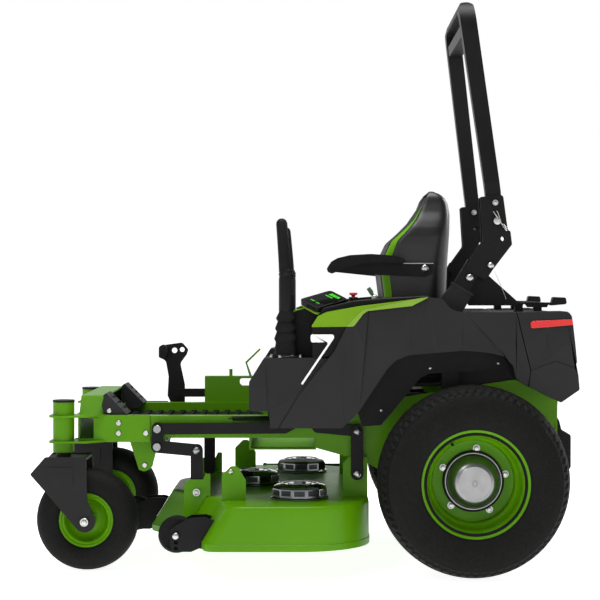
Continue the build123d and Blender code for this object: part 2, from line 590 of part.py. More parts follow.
def blade_motor(x, y):
    """Drum-shaped hub motor: foot ring, ribbed body and a stepped lid."""
    body = rod_z(DECK_TOP + 6, DECK_TOP + 42, (x, y), 86)
    body = fillet(body.edges().sort_by(Axis.Z)[-1], 8)
    motor = rod_z(DECK_TOP, DECK_TOP + 6, (x, y), 96) + body + rod_z(DECK_TOP + 42, DECK_TOP + 47, (x, y), 60)
    motor += rod_z(DECK_TOP + 47, DECK_TOP + 53, (x, y), 20)
    for i in range(12):
        motor += Pos(x, y, DECK_TOP + 20) * Rot(0, 0, 30 * i) * Pos(86, 0, 0) * Box(8, 12, 28)
    return motor - rod_z(DECK_TOP - 1, DECK_TOP + 22, (x, y), SHAFT_R + FIT)


def blade(x, y):
    bar = Pos(x, y, BLADE_Z + 3) * Box(60, BLADE_LENGTH, 6)
    for side in (-1, 1):
        bar -= Pos(x + 24 * side, y + side * BLADE_LENGTH / 2, BLADE_Z + 3) * Box(14, 110, 8)
    spindle = rod_z(BLADE_Z - 6, DECK_TOP + 20, (x, y), SHAFT_R) + rod_z(BLADE_Z + 6, BLADE_Z + 30, (x, y), 24)
    spindle += rod_z(BLADE_Z - 14, BLADE_Z, (x, y), 16)
    return [bar - spindle, spindle]


def scalp_bracket(x, y):
    """Black carrier with two height holes below the wheel bolt, on each side of one wheel."""
    outline = [(-18, 18), (7, 37), (45, 56), (92, 58), (128, 45), (88, -43), (73, -40), (48, -51), (-6, -51),
               (-18, -38)]
    rounding = [6, 20, 20, 20, 0, 4, 6, 6, 8, 8]
    pieces = []
    for face in (y - 38, y + 32):
        cheek = plate([(x + a, SCALP_Z + b) for a, b in outline], face, face + 6, rounding)
        for drop in (22, 40):
            cheek -= box(x - 6, x + 6, face - 1, face + 7, SCALP_Z - drop - 5, SCALP_Z - drop + 5)
        pieces.append(cheek)
    bridge = box(x + 80, x + 92, y - 32, y + 32, SCALP_Z - 20, SCALP_Z + 50)
    bolt = rod_y(y - 38, y + 38, (x, SCALP_Z), 7)
    bolt += rod_y(y - 46, y - 38, (x, SCALP_Z), 12) + rod_y(y + 38, y + 46, (x, SCALP_Z), 12)
    return [pieces[0] + pieces[1] + bridge - bolt - deck_form(), bolt]


def scalp_wheel(x, y):
    return turned([(7 + FIT, -30), (20, -30), (22, -26), (50, -26), (SCALP_R, -18), (SCALP_R, 18), (50, 26),
                   (22, 26), (20, 30), (7 + FIT, 30)], x, y, SCALP_Z)


def deck_brackets():
    """Brackets welded to the deck, then the hangers and bolts that they carry."""
    front_hanger = link(FRONT_END, DECK_FRONT_BOLT, 20, -345, -337)
    front_hanger -= rod_y(-400, -300, FRONT_END, 10.4)
    front_plate = plate([(-388, 172), (-388, 278), (-372, 292), (-326, 292), (-318, 311), (-302, 311),
                         (-302, 172)], -353, -347, [0, 6, 6, 0, 4, 4, 0])
    front_plate += box(-324, -302, -353, -320, DECK_TOP, DECK_TOP + 5)
    front_plate -= deck_form()
    slot_bolt = rod_y(-360, -337, DECK_FRONT_BOLT, 6) + rod_y(-360, -353, DECK_FRONT_BOLT, 10)
    rear_hanger = link(REAR_END, DECK_REAR_BOLT, 20, -368, -358)
    rear_hanger -= rod_y(-400, -300, REAR_END, 10.4)
    rear_plate = plate([(129, DECK_TOP), (129, 345), (150, 366), (209, 366), (209, DECK_TOP)], -356, -350,
                       [0, 6, 6, 6, 0])
    rear_plate += box(129, 209, -356, -320, DECK_TOP, DECK_TOP + 5)
    rear_bolt = rod_y(-375, -350, DECK_REAR_BOLT, 7) + rod_y(-375, -368, DECK_REAR_BOLT, 12)
    rear_bolt += rod_y(-358, -356, DECK_REAR_BOLT, 12)
    stay = plate([(-259, DECK_TOP), (-259, 318), (-230, 347), (-210, 347), (-182, 302), (-182, DECK_TOP)],
                 -460, -455, [0, 10, 10, 10, 6, 0])
    stay += box(-259, -182, -460, -430, DECK_TOP, DECK_TOP + 4)
    brackets = both(cut(front_plate, [slot_bolt]), cut(rear_plate, [rear_bolt]), stay)
    hangers = both(cut(front_hanger, [slot_bolt]), slot_bolt, cut(rear_hanger, [rear_bolt]), rear_bolt)
    return brackets, hangers


# ---- deck lift linkage --------------------------------------------------------------------
def lift_arms_front():
    crank = link(FRONT_PIVOT, FRONT_PIN, 20, -356, -346) + link(FRONT_PIVOT, FRONT_END, 20, -356, -346)
    pin = rod_y(-372, -346, FRONT_PIN, 10) + rod_y(-376, -369, FRONT_PIN, 14)
    pin += rod_y(-360, -337, FRONT_END, 10) + rod_y(-362, -356, FRONT_END, 13)
    side = crank + pin
    shaft = rod_y(-356, 356, FRONT_PIVOT, SHAFT_R)
    shaft += rod_y(-363, -356, FRONT_PIVOT, 14) + rod_y(356, 363, FRONT_PIVOT, 14)
    return [cut(side, [shaft]), cut(other_side(side), [shaft]), shaft]


def lift_pedal():
    """Foot pedal welded to the right-hand front crank."""
    outline = [(-528, 689), (-513, 706), (-448, 715), (-425, 689), (-432, 670), (-455, 639), (-438, 560),
               (-438, 500), (-455, 440), (-486, 440), (-488, 490), (-502, 520), (-498, 590), (-508, 647),
               (-526, 658)]
    pedal = plate(outline, 342, 346, [6, 10, 14, 10, 8, 20, 30, 30, 8, 8, 10, 10, 20, 20, 6])
    pedal -= rod_y(330, 350, (-476, 686), 10) + rod_y(330, 350, (-448, 689), 9)
    pedal += plate([(-530, 662), (-530, 700), (-518, 708), (-500, 704), (-502, 664), (-516, 656)], 296, 342,
                   [8, 8, 8, 10, 10, 8])
    return pedal + rod_y(316, 342, LINK_PIN, 8)


def lift_arms_rear():
    crank = link(REAR_PIVOT, REAR_PIN, 18, -356, -346) + link(REAR_PIVOT, REAR_END, 18, -356, -346)
    pin = rod_y(-372, -346, REAR_PIN, 10) + rod_y(-376, -369, REAR_PIN, 14)
    pin += rod_y(-372, -346, REAR_END, 10) + rod_y(-376, -369, REAR_END, 13)
    side = crank + pin
    shaft = rod_y(-356, 356, REAR_PIVOT, SHAFT_R)
    return [cut(side, [shaft]), cut(other_side(side), [shaft]), shaft]


def push_bars():
    knee = (-60, 461)
    bar = link(FRONT_PIN, knee, 18, -368, -358) + link(knee, REAR_PIN, 18, -368, -358)
    bar -= rod_y(-400, -300, FRONT_PIN, 10 + FIT)
    bar -= rod_y(-400, -300, REAR_PIN, 10.4)
    return both(bar)


def lift_link():
    bar = link(LINK_PIN, (LINK_PIN[0] + 130, LINK_PIN[1]), 15, 317, 326.5)
    return bar - rod_y(300, 340, LINK_PIN, 8 + FIT)


def lift_springs():
    return both(rod_x(-245, -105, -352, 490.5, 8))


# ---- console equipment --------------------------------------------------------------------
def display_unit():
    housing = plate([(-12, 879), (7, 896), (94, 910), (154, 881), (60, 872)], -415, -335, [6, 6, 6, 4, 4])
    return housing


def build():
    os.makedirs("parts", exist_ok=True)
    bolts = frame_bolts()
    frame = chassis_frame(bolts)
    beam = cut(front_axle_beam(), frame)
    save("chassis_frame", *frame)
    save("front_axle_beam", beam)
    save("caster_bearings", *caster_bearings())
    save("frame_bolts", *bolts)
    save("floor_pan", *floor_pan())
    save("foot_rests", *[foot_rest(y, y + 123, bolts, frame + [beam]) for y in (-328, 205)])
    save("lift_tower", *lift_tower())
    save("wheel_motors", *wheel_motors())
    save("rear_bumper", rear_bumper())
    knob_stem = rod_z(860, 884, KNOB, 6)
    save("side_panel_right", *side_panel())
    save("side_panel_left", *[other_side(piece) - rod_z(850, 884, KNOB, 6 + FIT) for piece in side_panel()])
    save("pto_knob", knob_stem + rod_z(884, 898, KNOB, 13))
    corners, lights = rear_corner_panels()
    save("rear_corner_panels", *corners)
    save("tail_lights", *lights)
    save("arch_liners", *arch_liners())
    save("rear_hood", rear_hood())
    save("battery_modules", *battery_modules())
    save("seat_base", *seat_base())
    save("seat_slider", seat_slider())
    save("seat_cushion", *seat_cushion())
    save("seat_back", *seat_back())
    save("display_unit", display_unit())
    save("rops_lower_posts", *rops_lower_posts())
    save("rops_hoop", rops_hoop())
    save("rear_rack", *rear_rack())
    save("lift_springs", *lift_springs())
    for name, side in (("left", -1), ("right", 1)):
        save(f"caster_fork_{name}", *caster_fork(side))
        save(f"caster_rim_{name}", caster_rim(side * CASTER_Y))
        save(f"caster_tyre_{name}",
             tyre(AXLE_X, side * CASTER_Y, CASTER_R, CASTER_R, CASTER_W, 80, 88, 43.5))
        save(f"drive_rim_{name}", *[piece if side > 0 else other_side(piece) for piece in drive_rim()])
        save(f"drive_tyre_{name}",
             tyre(DRIVE_X, side * DRIVE_Y, DRIVE_R, DRIVE_R, DRIVE_W, 152, 170, 98.5))
        save(f"armrest_{name}", *armrest(side))
        save(f"control_lever_{name}", *lever(side))
        save(f"lever_pivot_{name}", lever_pivot(side))
        save(f"rops_lock_pin_{name}", lock_pin(side))
    scalp = [piece for x, y in SCALP_WHEELS for piece in scalp_bracket(x, y)]
    save("deck_shell", deck_shell())
    brackets, hangers = deck_brackets()
    save("deck_brackets", *brackets)
    save("deck_hangers", *hangers, *scalp, *chute_hinge())
    save("blade_motors", *[blade_motor(x, y) for x, y in BLADES])
    for name, (x, y), wheel in zip(("left", "centre", "right"), BLADES, SCALP_WHEELS):
        save(f"blade_{name}", *blade(x, y))
        save(f"anti_scalp_wheel_{name}", scalp_wheel(*wheel))
    save("discharge_chute", discharge_chute())
    save("lift_arms_front", *lift_arms_front())
    save("lift_pedal", lift_pedal())
    save("lift_arms_rear", *lift_arms_rear())
    save("push_bars", *push_bars())
    save("lift_link", lift_link())


build()
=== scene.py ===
import bpy
import bmesh
from math import cos, pi, radians, sin, sqrt
from mathutils import Matrix, Vector


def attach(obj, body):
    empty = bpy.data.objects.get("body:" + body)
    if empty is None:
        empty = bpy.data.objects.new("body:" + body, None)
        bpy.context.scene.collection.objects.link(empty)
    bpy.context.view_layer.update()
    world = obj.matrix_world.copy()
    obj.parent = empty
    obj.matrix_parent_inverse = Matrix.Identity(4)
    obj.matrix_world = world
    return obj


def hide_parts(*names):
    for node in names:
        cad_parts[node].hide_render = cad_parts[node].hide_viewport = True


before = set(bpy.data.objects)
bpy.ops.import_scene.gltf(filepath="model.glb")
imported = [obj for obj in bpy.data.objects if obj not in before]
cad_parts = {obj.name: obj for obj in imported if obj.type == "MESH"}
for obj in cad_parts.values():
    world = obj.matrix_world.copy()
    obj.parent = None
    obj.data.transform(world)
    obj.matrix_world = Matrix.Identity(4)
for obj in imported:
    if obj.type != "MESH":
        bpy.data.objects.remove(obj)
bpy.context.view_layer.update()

# The model is in metres; sizes in this script are millimetres and go through MM.
MM = 0.001
SIDES = (("left", -1), ("right", 1))
DRIVE_X, DRIVE_Y, DRIVE_R = 538, 505, 305
CASTER_X, CASTER_Y, CASTER_R = -701, 346, 165
PANEL_IN, PANEL_OUT = 337, 500
LEVER_X, LEVER_Y, CONSOLE_TOP = -55, 420, 692
ROPS_HINGE, ROPS_LOCK = (621, 1191), (627, 1132)
BLADES = [(-11, -395), (-174, 0), (-11, 395)]
SCALP_WHEELS = {"left": (-399, -500), "centre": (-576, 0), "right": (-399, 500)}
SCALP_Z = 137
DECK_SIDE, DECK_BOTTOM, DECK_CREASE, DECK_TOP = 618, 98, 120, 238
DECK_CORNER, DECK_CORNER_X, NOSE_SLOPE = 225, -11, 72
SWITCH, KEY = (163, -350, 0), (232, -350, 0)


# ------------------------------------------------------------------------ materials
def linear(rgb):
    """sRGB 0 to 255 to linear colour."""
    return tuple((c / 255 / 12.92) if c <= 10 else ((c / 255 + 0.055) / 1.055) ** 2.4 for c in rgb)


def finish_of(name, rgb, rough, metal=0.0, coat=0.0, grain=(900, 0.1), mottle=(6, 0.12), sheen=0.0,
              cells=None, rough_spread=0.08, specular=0.14):
    """A surface with its own colour variation, roughness variation and fine relief."""
    material = bpy.data.materials.new(name)
    material.use_nodes = True
    nodes, links = material.node_tree.nodes, material.node_tree.links
    shader = nodes["Principled BSDF"]
    shader.inputs["Metallic"].default_value = metal
    shader.inputs["Specular IOR Level"].default_value = specular
    shader.inputs["Coat Weight"].default_value = coat
    shader.inputs["Coat Roughness"].default_value = 0.08
    shader.inputs["Sheen Weight"].default_value = sheen
    place = nodes.new("ShaderNodeTexCoord").outputs["Object"]

    def noise(scale, detail=4):
        node = nodes.new("ShaderNodeTexNoise")
        node.inputs["Scale"].default_value = scale
        node.inputs["Detail"].default_value = detail
        links.new(place, node.inputs["Vector"])
        return node.outputs["Fac"]

    base = linear(rgb)
    shades = nodes.new("ShaderNodeValToRGB")
    shades.color_ramp.elements[0].color = (*[c * (1 - mottle[1]) for c in base], 1)
    shades.color_ramp.elements[0].position = 0.35
    shades.color_ramp.elements[1].color = (*[min(1, c * (1 + mottle[1])) for c in base], 1)
    shades.color_ramp.elements[1].position = 0.65
    links.new(noise(mottle[0]), shades.inputs["Fac"])
    links.new(shades.outputs["Color"], shader.inputs["Base Color"])

    spread = nodes.new("ShaderNodeMapRange")
    spread.inputs["To Min"].default_value = rough - rough_spread
    spread.inputs["To Max"].default_value = rough + rough_spread
    links.new(noise(35), spread.inputs["Value"])
    links.new(spread.outputs["Result"], shader.inputs["Roughness"])

    relief = nodes.new("ShaderNodeBump")
    relief.inputs["Strength"].default_value = grain[1]
    relief.inputs["Distance"].default_value = 0.0006
    if cells:
        voronoi = nodes.new("ShaderNodeTexVoronoi")
        voronoi.inputs["Scale"].default_value = cells
        voronoi.feature = "DISTANCE_TO_EDGE"
        links.new(place, voronoi.inputs["Vector"])
        links.new(voronoi.outputs["Distance"], relief.inputs["Height"])
    else:
        links.new(noise(grain[0], 2), relief.inputs["Height"])
    links.new(relief.outputs["Normal"], shader.inputs["Normal"])
    return material


GREEN = finish_of("green_paint", (82, 138, 0), 0.36, coat=0.04, grain=(260, 0.05), mottle=(3, 0.05))
LIME = finish_of("lime_plastic", (110, 152, 20), 0.4, coat=0.02, grain=(700, 0.06), mottle=(4, 0.05))
PALE_LIME = finish_of("pale_lime_plastic", (128, 164, 58), 0.42, coat=0.02, grain=(700, 0.06),
                      mottle=(4, 0.05))
STEEL = finish_of("black_powder_coat", (20, 20, 20), 0.42, grain=(1400, 0.22), mottle=(5, 0.15))
FORK = finish_of("charcoal_powder_coat", (34, 34, 34), 0.5, grain=(1200, 0.25), mottle=(5, 0.12))
PLASTIC = finish_of("charcoal_plastic", (40, 40, 40), 0.5, grain=(1100, 0.2), mottle=(4, 0.08))
DARK = finish_of("black_plastic", (18, 18, 18), 0.45, grain=(900, 0.2), mottle=(6, 0.12))
SHELL = finish_of("gloss_black_shell", (16, 16, 16), 0.4, grain=(500, 0.04), mottle=(4, 0.08), specular=0.5)
TYRE = finish_of("tyre_rubber", (17, 17, 16), 0.72, grain=(1500, 0.5), mottle=(140, 0.28), sheen=0.0)
RUBBER = finish_of("black_rubber", (18, 18, 18), 0.6, grain=(1300, 0.35), mottle=(60, 0.15))
VINYL = finish_of("black_vinyl", (17, 17, 17), 0.42, grain=(1, 0.25), cells=420, mottle=(8, 0.12), sheen=0.1)
GREEN_VINYL = finish_of("green_vinyl", (92, 150, 8), 0.42, grain=(1, 0.22), cells=420, mottle=(8, 0.08))
ZINC = finish_of("zinc_plate", (190, 190, 188), 0.3, metal=1.0, grain=(600, 0.12), mottle=(90, 0.08))
BRIGHT = finish_of("turned_aluminium", (150, 150, 150), 0.33, metal=1.0, grain=(900, 0.15), mottle=(30, 0.06))
GUNMETAL = finish_of("motor_gloss", (112, 114, 116), 0.12, metal=1.0, coat=0.6, grain=(300, 0.04),
                     mottle=(10, 0.25), rough_spread=0.04)
RED = finish_of("red_lens", (214, 48, 46), 0.3, coat=0.4, grain=(400, 0.04), mottle=(5, 0.06))
WHITE = finish_of("white_lens", (244, 244, 242), 0.3, coat=0.3, grain=(300, 0.03), mottle=(5, 0.02))
SCREEN = finish_of("screen_glass", (12, 12, 13), 0.12, coat=0.5, grain=(200, 0.01), mottle=(5, 0.1),
                   rough_spread=0.03)
LIT_GREEN = finish_of("screen_green", (70, 190, 40), 0.3, grain=(200, 0.01), mottle=(200, 0.1))


# ------------------------------------------------------------------------ mesh helpers
def rounded(points, radii, steps=6):
    """The closed outline with each corner turned into an arc of its radius."""
    if not isinstance(radii, (list, tuple)):
        radii = [radii] * len(points)
    result = []
    for i, here in enumerate(points):
        before, after, radius = Vector(points[i - 1]), Vector(points[(i + 1) % len(points)]), radii[i]
        here = Vector(here)
        a, b = (before - here), (after - here)
        turn = a.angle(b)
        if radius <= 0 or turn > pi - 0.02:
            result.append(tuple(here))
            continue
        reach = min(radius / max(0.05, abs(sin(turn / 2) / cos(turn / 2))), a.length * 0.49, b.length * 0.49)
        start, end = here + a.normalized() * reach, here + b.normalized() * reach
        for step in range(steps + 1):
            t = step / steps
            result.append(tuple(start.lerp(here, t).lerp(here.lerp(end, t), t)))
    return result


def piece(name, bm, material, body, sharp=38):
    """A finished mesh piece that rides on a body."""
    bmesh.ops.recalc_face_normals(bm, faces=bm.faces)
    mesh = bpy.data.meshes.new(name)
    bm.to_mesh(mesh)
    bm.free()
    for face in mesh.polygons:
        face.use_smooth = True
    mesh.set_sharp_from_angle(angle=radians(sharp))
    mesh.materials.append(material)
    obj = bpy.data.objects.new(name, mesh)
    bpy.context.scene.collection.objects.link(obj)
    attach(obj, body)
    return obj


def ease(bm, width, segments=3, angle=30, chosen=None):
    """Rounds the sharp edges, or only the chosen ones, by width in millimetres."""
    edges = [e for e in bm.edges if len(e.link_faces) == 2 and e.calc_face_angle(0) > radians(angle)
             and (chosen is None or chosen(e))]
    bmesh.ops.bevel(bm, geom=edges, offset=width * MM, offset_type="OFFSET", segments=segments, profile=0.5,
                    affect="EDGES", clamp_overlap=True)


def prism(points, low, high, axis="Y"):
    """Outline pushed from low to high: (X, Z) along Y, (X, Y) along Z or (Y, Z) along X."""
    bm = bmesh.new()
    place = {"Y": lambda p, t: (p[0], t, p[1]), "Z": lambda p, t: (p[0], p[1], t),
             "X": lambda p, t: (t, p[0], p[1])}[axis]
    rings = [[bm.verts.new(Vector(place(p, t)) * MM) for p in points] for t in (low, high)]
    bm.faces.new(rings[0])
    bm.faces.new(rings[1])
    count = len(points)
    for i in range(count):
        j = (i + 1) % count
        bm.faces.new((rings[0][i], rings[0][j], rings[1][j], rings[1][i]))
    return bm


def lathe(profile, centre, axis="Y", count=96, closed=True, start=0.0):
    """Profile points (radius, offset along axis) turned about the axis through centre."""
    bm = bmesh.new()
    rings = []
    for step in range(count):
        angle = start + 2 * pi * step / count
        ring = []
        for r, t in profile:
            u, v = r * cos(angle), r * sin(angle)
            spot = {"Y": (u, t, v), "Z": (u, v, t), "X": (t, u, v)}[axis]
            ring.append(bm.verts.new((Vector(centre) + Vector(spot)) * MM))
        rings.append(ring)
    last = len(profile) if closed else len(profile) - 1
    for step in range(count):
        one, two = rings[step], rings[(step + 1) % count]
        for i in range(last):
            j = (i + 1) % len(profile)
            bm.faces.new((one[i], one[j], two[j], two[i]))
    bmesh.ops.remove_doubles(bm, verts=bm.verts, dist=1e-6)
    return bm


def outward(profile, side):
    """Profile of (radius, distance) points, with the distances turned to one side."""
    return [(r, t * side) for r, t in profile]


def join(*meshes):
    whole = bmesh.new()
    for part in meshes:
        mesh = bpy.data.meshes.new("join")
        part.to_mesh(mesh)
        part.free()
        whole.from_mesh(mesh)
        bpy.data.meshes.remove(mesh)
    return whole


def tube(points, radius, sides=12, close_ends=True, closed=False):
    """Round bar through the points, in millimetres."""
    bm = bmesh.new()
    path = [Vector(p) for p in points]
    rings, normal = [], None
    for i, here in enumerate(path):
        ahead = path[(i + 1) % len(path)] if closed else path[min(i + 1, len(path) - 1)]
        behind = path[i - 1] if closed or i else path[0]
        tangent = (ahead - behind).normalized()
        if normal is None:
            normal = tangent.orthogonal().normalized()
        normal = (normal - tangent * normal.dot(tangent)).normalized()
        cross = tangent.cross(normal)
        r = radius(i) if callable(radius) else radius
        ring = []
        for k in range(sides):
            turn = 2 * pi * k / sides
            ring.append(bm.verts.new((here + (normal * cos(turn) + cross * sin(turn)) * r) * MM))
        rings.append(ring)
    pairs = list(zip(rings, rings[1:] + rings[:1]))
    for one, two in pairs if closed else pairs[:-1]:
        for k in range(sides):
            bm.faces.new((one[k], one[(k + 1) % sides], two[(k + 1) % sides], two[k]))
    if close_ends and not closed:
        bm.faces.new(rings[0])
        bm.faces.new(rings[-1])
    return bm


def box(x0, x1, y0, y1, z0, z1):
    return prism([(x0, z0), (x1, z0), (x1, z1), (x0, z1)], min(y0, y1), max(y0, y1))


def grid(rows, wrap=False, caps=False):
    """Surface through rows of points, in millimetres; rows wrap round on themselves if asked."""
    bm = bmesh.new()
    made = [[bm.verts.new(Vector(p) * MM) for p in row] for row in rows]
    for one, two in zip(made, made[1:]):
        last = len(one) if wrap else len(one) - 1
        for k in range(last):
            bm.faces.new((one[k], one[(k + 1) % len(one)], two[(k + 1) % len(one)], two[k]))
    if caps:
        bm.faces.new(made[0])
        bm.faces.new(made[-1])
    return bm


def moved(bm, matrix):
    bmesh.ops.transform(bm, matrix=matrix, verts=bm.verts)
    return bm


def hex_bolt(place, face, out, across=9, height=7, axis="Y"):
    """Washer and domed six-sided head, standing out of a face in the direction out."""
    washer = [(0, 0), (across * 1.35, 0), (across * 1.35, 1.2), (across * 1.3, 1.8), (0, 1.8)]
    head = [(0, 1.8), (across, 1.8), (across, height - 2), (across * 0.86, height),
            (across * 0.5, height + 0.8), (0, height + 1)]
    spot = (place[0], face, place[1]) if axis == "Y" else (place[0], place[1], face)
    flip = [outward(part, out) for part in (washer, head)]
    return join(lathe(flip[0], spot, axis, 24, closed=False), lathe(flip[1], spot, axis, 6, closed=False))


def round_bolt(place, face, out, radius=9, height=6):
    """Dome-headed bolt."""
    profile = [(0, 0), (radius, 0), (radius, 1.5)]
    for k in range(1, 5):
        angle = radians(18 * k)
        profile.append((radius * cos(angle), 1.5 + (height - 1.5) * sin(angle)))
    profile.append((0, height))
    return lathe(outward(profile, out), (place[0], face, place[1]), "Y", 24, closed=False)


def paint(node, material):
    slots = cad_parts[node].data.materials
    slots.clear()
    slots.append(material)


# ------------------------------------------------------------------------ wheels
def smooth_profile(points, steps=4):
    """Catmull-Rom curve through the profile points."""
    ends = [points[0]] + points + [points[-1]]
    curve = []
    for a, b, c, d in zip(ends, ends[1:], ends[2:], ends[3:]):
        for k in range(steps):
            t = k / steps
            curve.append(tuple(0.5 * (2 * q + (r - p) * t + (2 * p - 5 * q + 4 * r - s) * t * t
                                      + (3 * q - p - 3 * r + s) * t ** 3) for p, q, r, s in zip(a, b, c, d)))
    return curve + [points[-1]]


def along(table, z):
    """Smoothly interpolated value of a (z, value) table."""
    if z <= table[0][0]:
        return table[0][1]
    for (z0, a), (z1, b) in zip(table, table[1:]):
        if z <= z1:
            return a + (b - a) * (z - z0) / (z1 - z0)
    return table[-1][1]


def wave(t):
    """Triangle wave from -1 to 1 with period 1."""
    return 4 * abs(t - int(t + 0.5)) - 1


def tread_depth(offset, turn, teeth):
    """How far the surface is cut in, in millimetres, at an offset across and a turn round the tyre."""
    zig = wave((turn * teeth) % 1.0)
    edge = 85 + 10 * zig
    depth = 6 * min(1, max(0, (abs(offset) - edge) / 2.5)) * min(1, max(0, (108 - abs(offset)) / 8))
    for groove in (-58, -20, 20, 58):
        distance = abs(offset - groove - 6 * zig)
        depth = max(depth, 5 * min(1, max(0, (4.6 - distance) / 1.6)))
    return depth if abs(offset) < 116 else 0


def drive_tyre(name, side):
    teeth, around = 68, 68 * 8
    across = [(170, 99), (171, 107), (180, 114), (205, 119.5), (228, 120.5), (250, 118), (263, 113.5)]
    flank = smooth_profile(across, 4)
    crown = []
    steps = 74
    for k in range(steps + 1):
        a = 109.5 - 219 * k / steps
        crown.append((305 - 2.5 * (abs(a) / 30) ** 1.9 if abs(a) < 30 else
                      along([(30, 302.5), (60, 296.5), (85, 288), (100, 280), (109.5, 272)], abs(a)), a))
    profile = flank[:-1] + crown + [(r, -t) for r, t in reversed(flank[:-1])]
    profile = [(152, 98)] + profile + [(152, -98)]
    bm = bmesh.new()
    rings = []
    for step in range(around):
        turn = step / around
        angle = 2 * pi * turn
        ring = []
        for r, t in profile:
            cut = tread_depth(t, turn, teeth) if r > 264 else 0
            radius = r - cut * (0.9 if abs(t) < 104 else 0.6)
            wide = t - (cut * 0.5 * (1 if t > 0 else -1) if abs(t) > 100 else 0)
            ring.append(bm.verts.new(Vector((DRIVE_X + radius * cos(angle), side * DRIVE_Y + wide,
                                             DRIVE_R + radius * sin(angle))) * MM))
        rings.append(ring)
    for step in range(around):
        one, two = rings[step], rings[(step + 1) % around]
        for i in range(len(profile) - 1):
            bm.faces.new((one[i], one[i + 1], two[i + 1], two[i]))
    obj = piece(f"drive_tyre_{name}_tread", bm, TYRE, f"drive_wheel_{name}", sharp=32)
    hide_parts(f"drive_tyre_{name}")


def caster_tyre(name, side):
    half = [(88, 44), (89, 52), (97, 59), (112, 63.2), (128, 61.5), (143, 54), (155, 42), (162, 26), (165, 8)]
    flank = smooth_profile(half, 5)
    profile = flank + [(r, -t) for r, t in reversed(flank)]
    centre = (CASTER_X, side * CASTER_Y, CASTER_R)
    bm = lathe(profile, centre, count=144, closed=False)
    for t in (-36, 36):
        ring = [(156.9, t - 1.5), (158.6, t), (156.9, t + 1.5)]
        bm = join(bm, lathe(ring, centre, count=144))
    obj = piece(f"caster_tyre_{name}_round", bm, TYRE, f"caster_wheel_{name}")
    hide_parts(f"caster_tyre_{name}")


def drive_rim(name, side):
    body, centre = f"drive_wheel_{name}", (DRIVE_X, side * DRIVE_Y, DRIVE_R)
    dish = [(60, -30), (60, -8), (96, -6), (124, -8), (129, -2), (132, 16), (140, 22), (146, 40), (147, 66),
            (150, 82), (153, 86), (154, 95), (159, 98), (161, 97.5), (163, 101), (169, 103.5), (170.5, 102),
            (170.5, 98), (166, 95), (158, 91), (155, 80), (152, 60), (152, -60), (155, -90), (170, -99),
            (170.5, -103), (166, -104), (151, -98), (146, -80), (146, 14), (137, 6), (133, -14), (60, -14)]
    rim = lathe([(r, t * side) for r, t in smooth_profile(dish, 2)], centre, count=120, closed=False)
    obj = piece(f"drive_rim_{name}_dish", rim, GREEN, body, sharp=50)
    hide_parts(f"drive_rim_{name}")

    ring = [(84, -4), (97, -4), (97, 3), (94, 6), (90, 6), (88.5, 3), (87, 3), (85.5, 8), (84, 8)]
    piece(f"hub_ring_{name}", lathe(outward(ring, side), centre, count=96), STEEL, body)
    seat = [(86, 3), (91, 3), (91, 7.5), (89.5, 9), (87, 9), (86, 7.5)]
    piece(f"hub_seal_{name}", lathe(outward(seat, side), centre, count=96), BRIGHT, body)
    cap = [(85, 2), (84.5, 8), (82, 20), (78, 34), (70, 50), (64, 57), (58, 61), (53, 62.5), (51.5, 63.5),
           (10, 63.5), (9, 62.6), (6, 62.6), (5, 63.8), (0, 63.8)]
    piece(f"hub_cap_{name}", lathe(outward(cap, side), centre, count=96, closed=False), BRIGHT, body,
          sharp=24)
    nuts = []
    for i in range(5):
        angle = radians(84 - 72 * i)
        spot = (DRIVE_X + 104 * cos(angle), DRIVE_R + 104 * sin(angle))
        nuts.append(hex_bolt(spot, centre[1] - 5 * side, side, 8.6, 13))
    piece(f"wheel_bolts_{name}", join(*nuts), ZINC, body)
    angle = radians(120)
    stem = [(4.5, 0), (4.5, 12), (3.2, 15), (3.2, 26), (4.4, 27), (4.4, 33), (0, 33.5)]
    spot = (DRIVE_X + 137 * cos(angle), centre[1] + 14 * side, DRIVE_R + 137 * sin(angle))
    piece(f"valve_stem_{name}", lathe(outward(stem, side), spot, count=16, closed=False), RUBBER,
          body)


def caster_rim(name, side):
    body, centre = f"caster_wheel_{name}", (CASTER_X, side * CASTER_Y, CASTER_R)
    half = [(24, 66), (26, 60), (27, 22), (33, 12), (44, 10), (56, 14), (64, 24), (69, 38), (73, 42), (78, 43),
            (80, 46), (86, 48.5), (88.3, 47), (88.3, 43), (82, 41), (79.5, 36), (79.5, 0)]
    profile = smooth_profile(half, 3) + [(r, -t) for r, t in reversed(smooth_profile(half, 3))]
    obj = piece(f"caster_rim_{name}_dish", lathe(profile, centre, count=96, closed=False), GREEN, body,
                sharp=50)
    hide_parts(f"caster_rim_{name}")
    for i, t in enumerate((-1, 1)):
        bush = [(8.3, 58), (23, 58), (23, 69), (21, 71), (10, 71), (8.3, 69)]
        piece(f"caster_bush_{name}_{i}", lathe(outward(bush, t), centre, count=48), STEEL, body)


def scalp_wheel(name, x, y):
    profile = [(8, -30), (19, -30), (20, -27), (22, -25), (44, -24), (48, -26), (54, -24), (57.5, -17), (58, -10),
               (58, 10), (57.5, 17), (54, 24), (48, 26), (44, 24), (22, 25), (20, 27), (19, 30), (8, 30)]
    roller = lathe(profile, (x, y, SCALP_Z), count=72)
    obj = piece(f"scalp_roller_{name}", roller, RUBBER, f"scalp_wheel_{name}")
    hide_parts(f"anti_scalp_wheel_{name}")


for name, side in SIDES:
    drive_tyre(name, side)
    drive_rim(name, side)
    caster_tyre(name, side)
    caster_rim(name, side)
for name, (x, y) in SCALP_WHEELS.items():
    scalp_wheel(name, x, y)


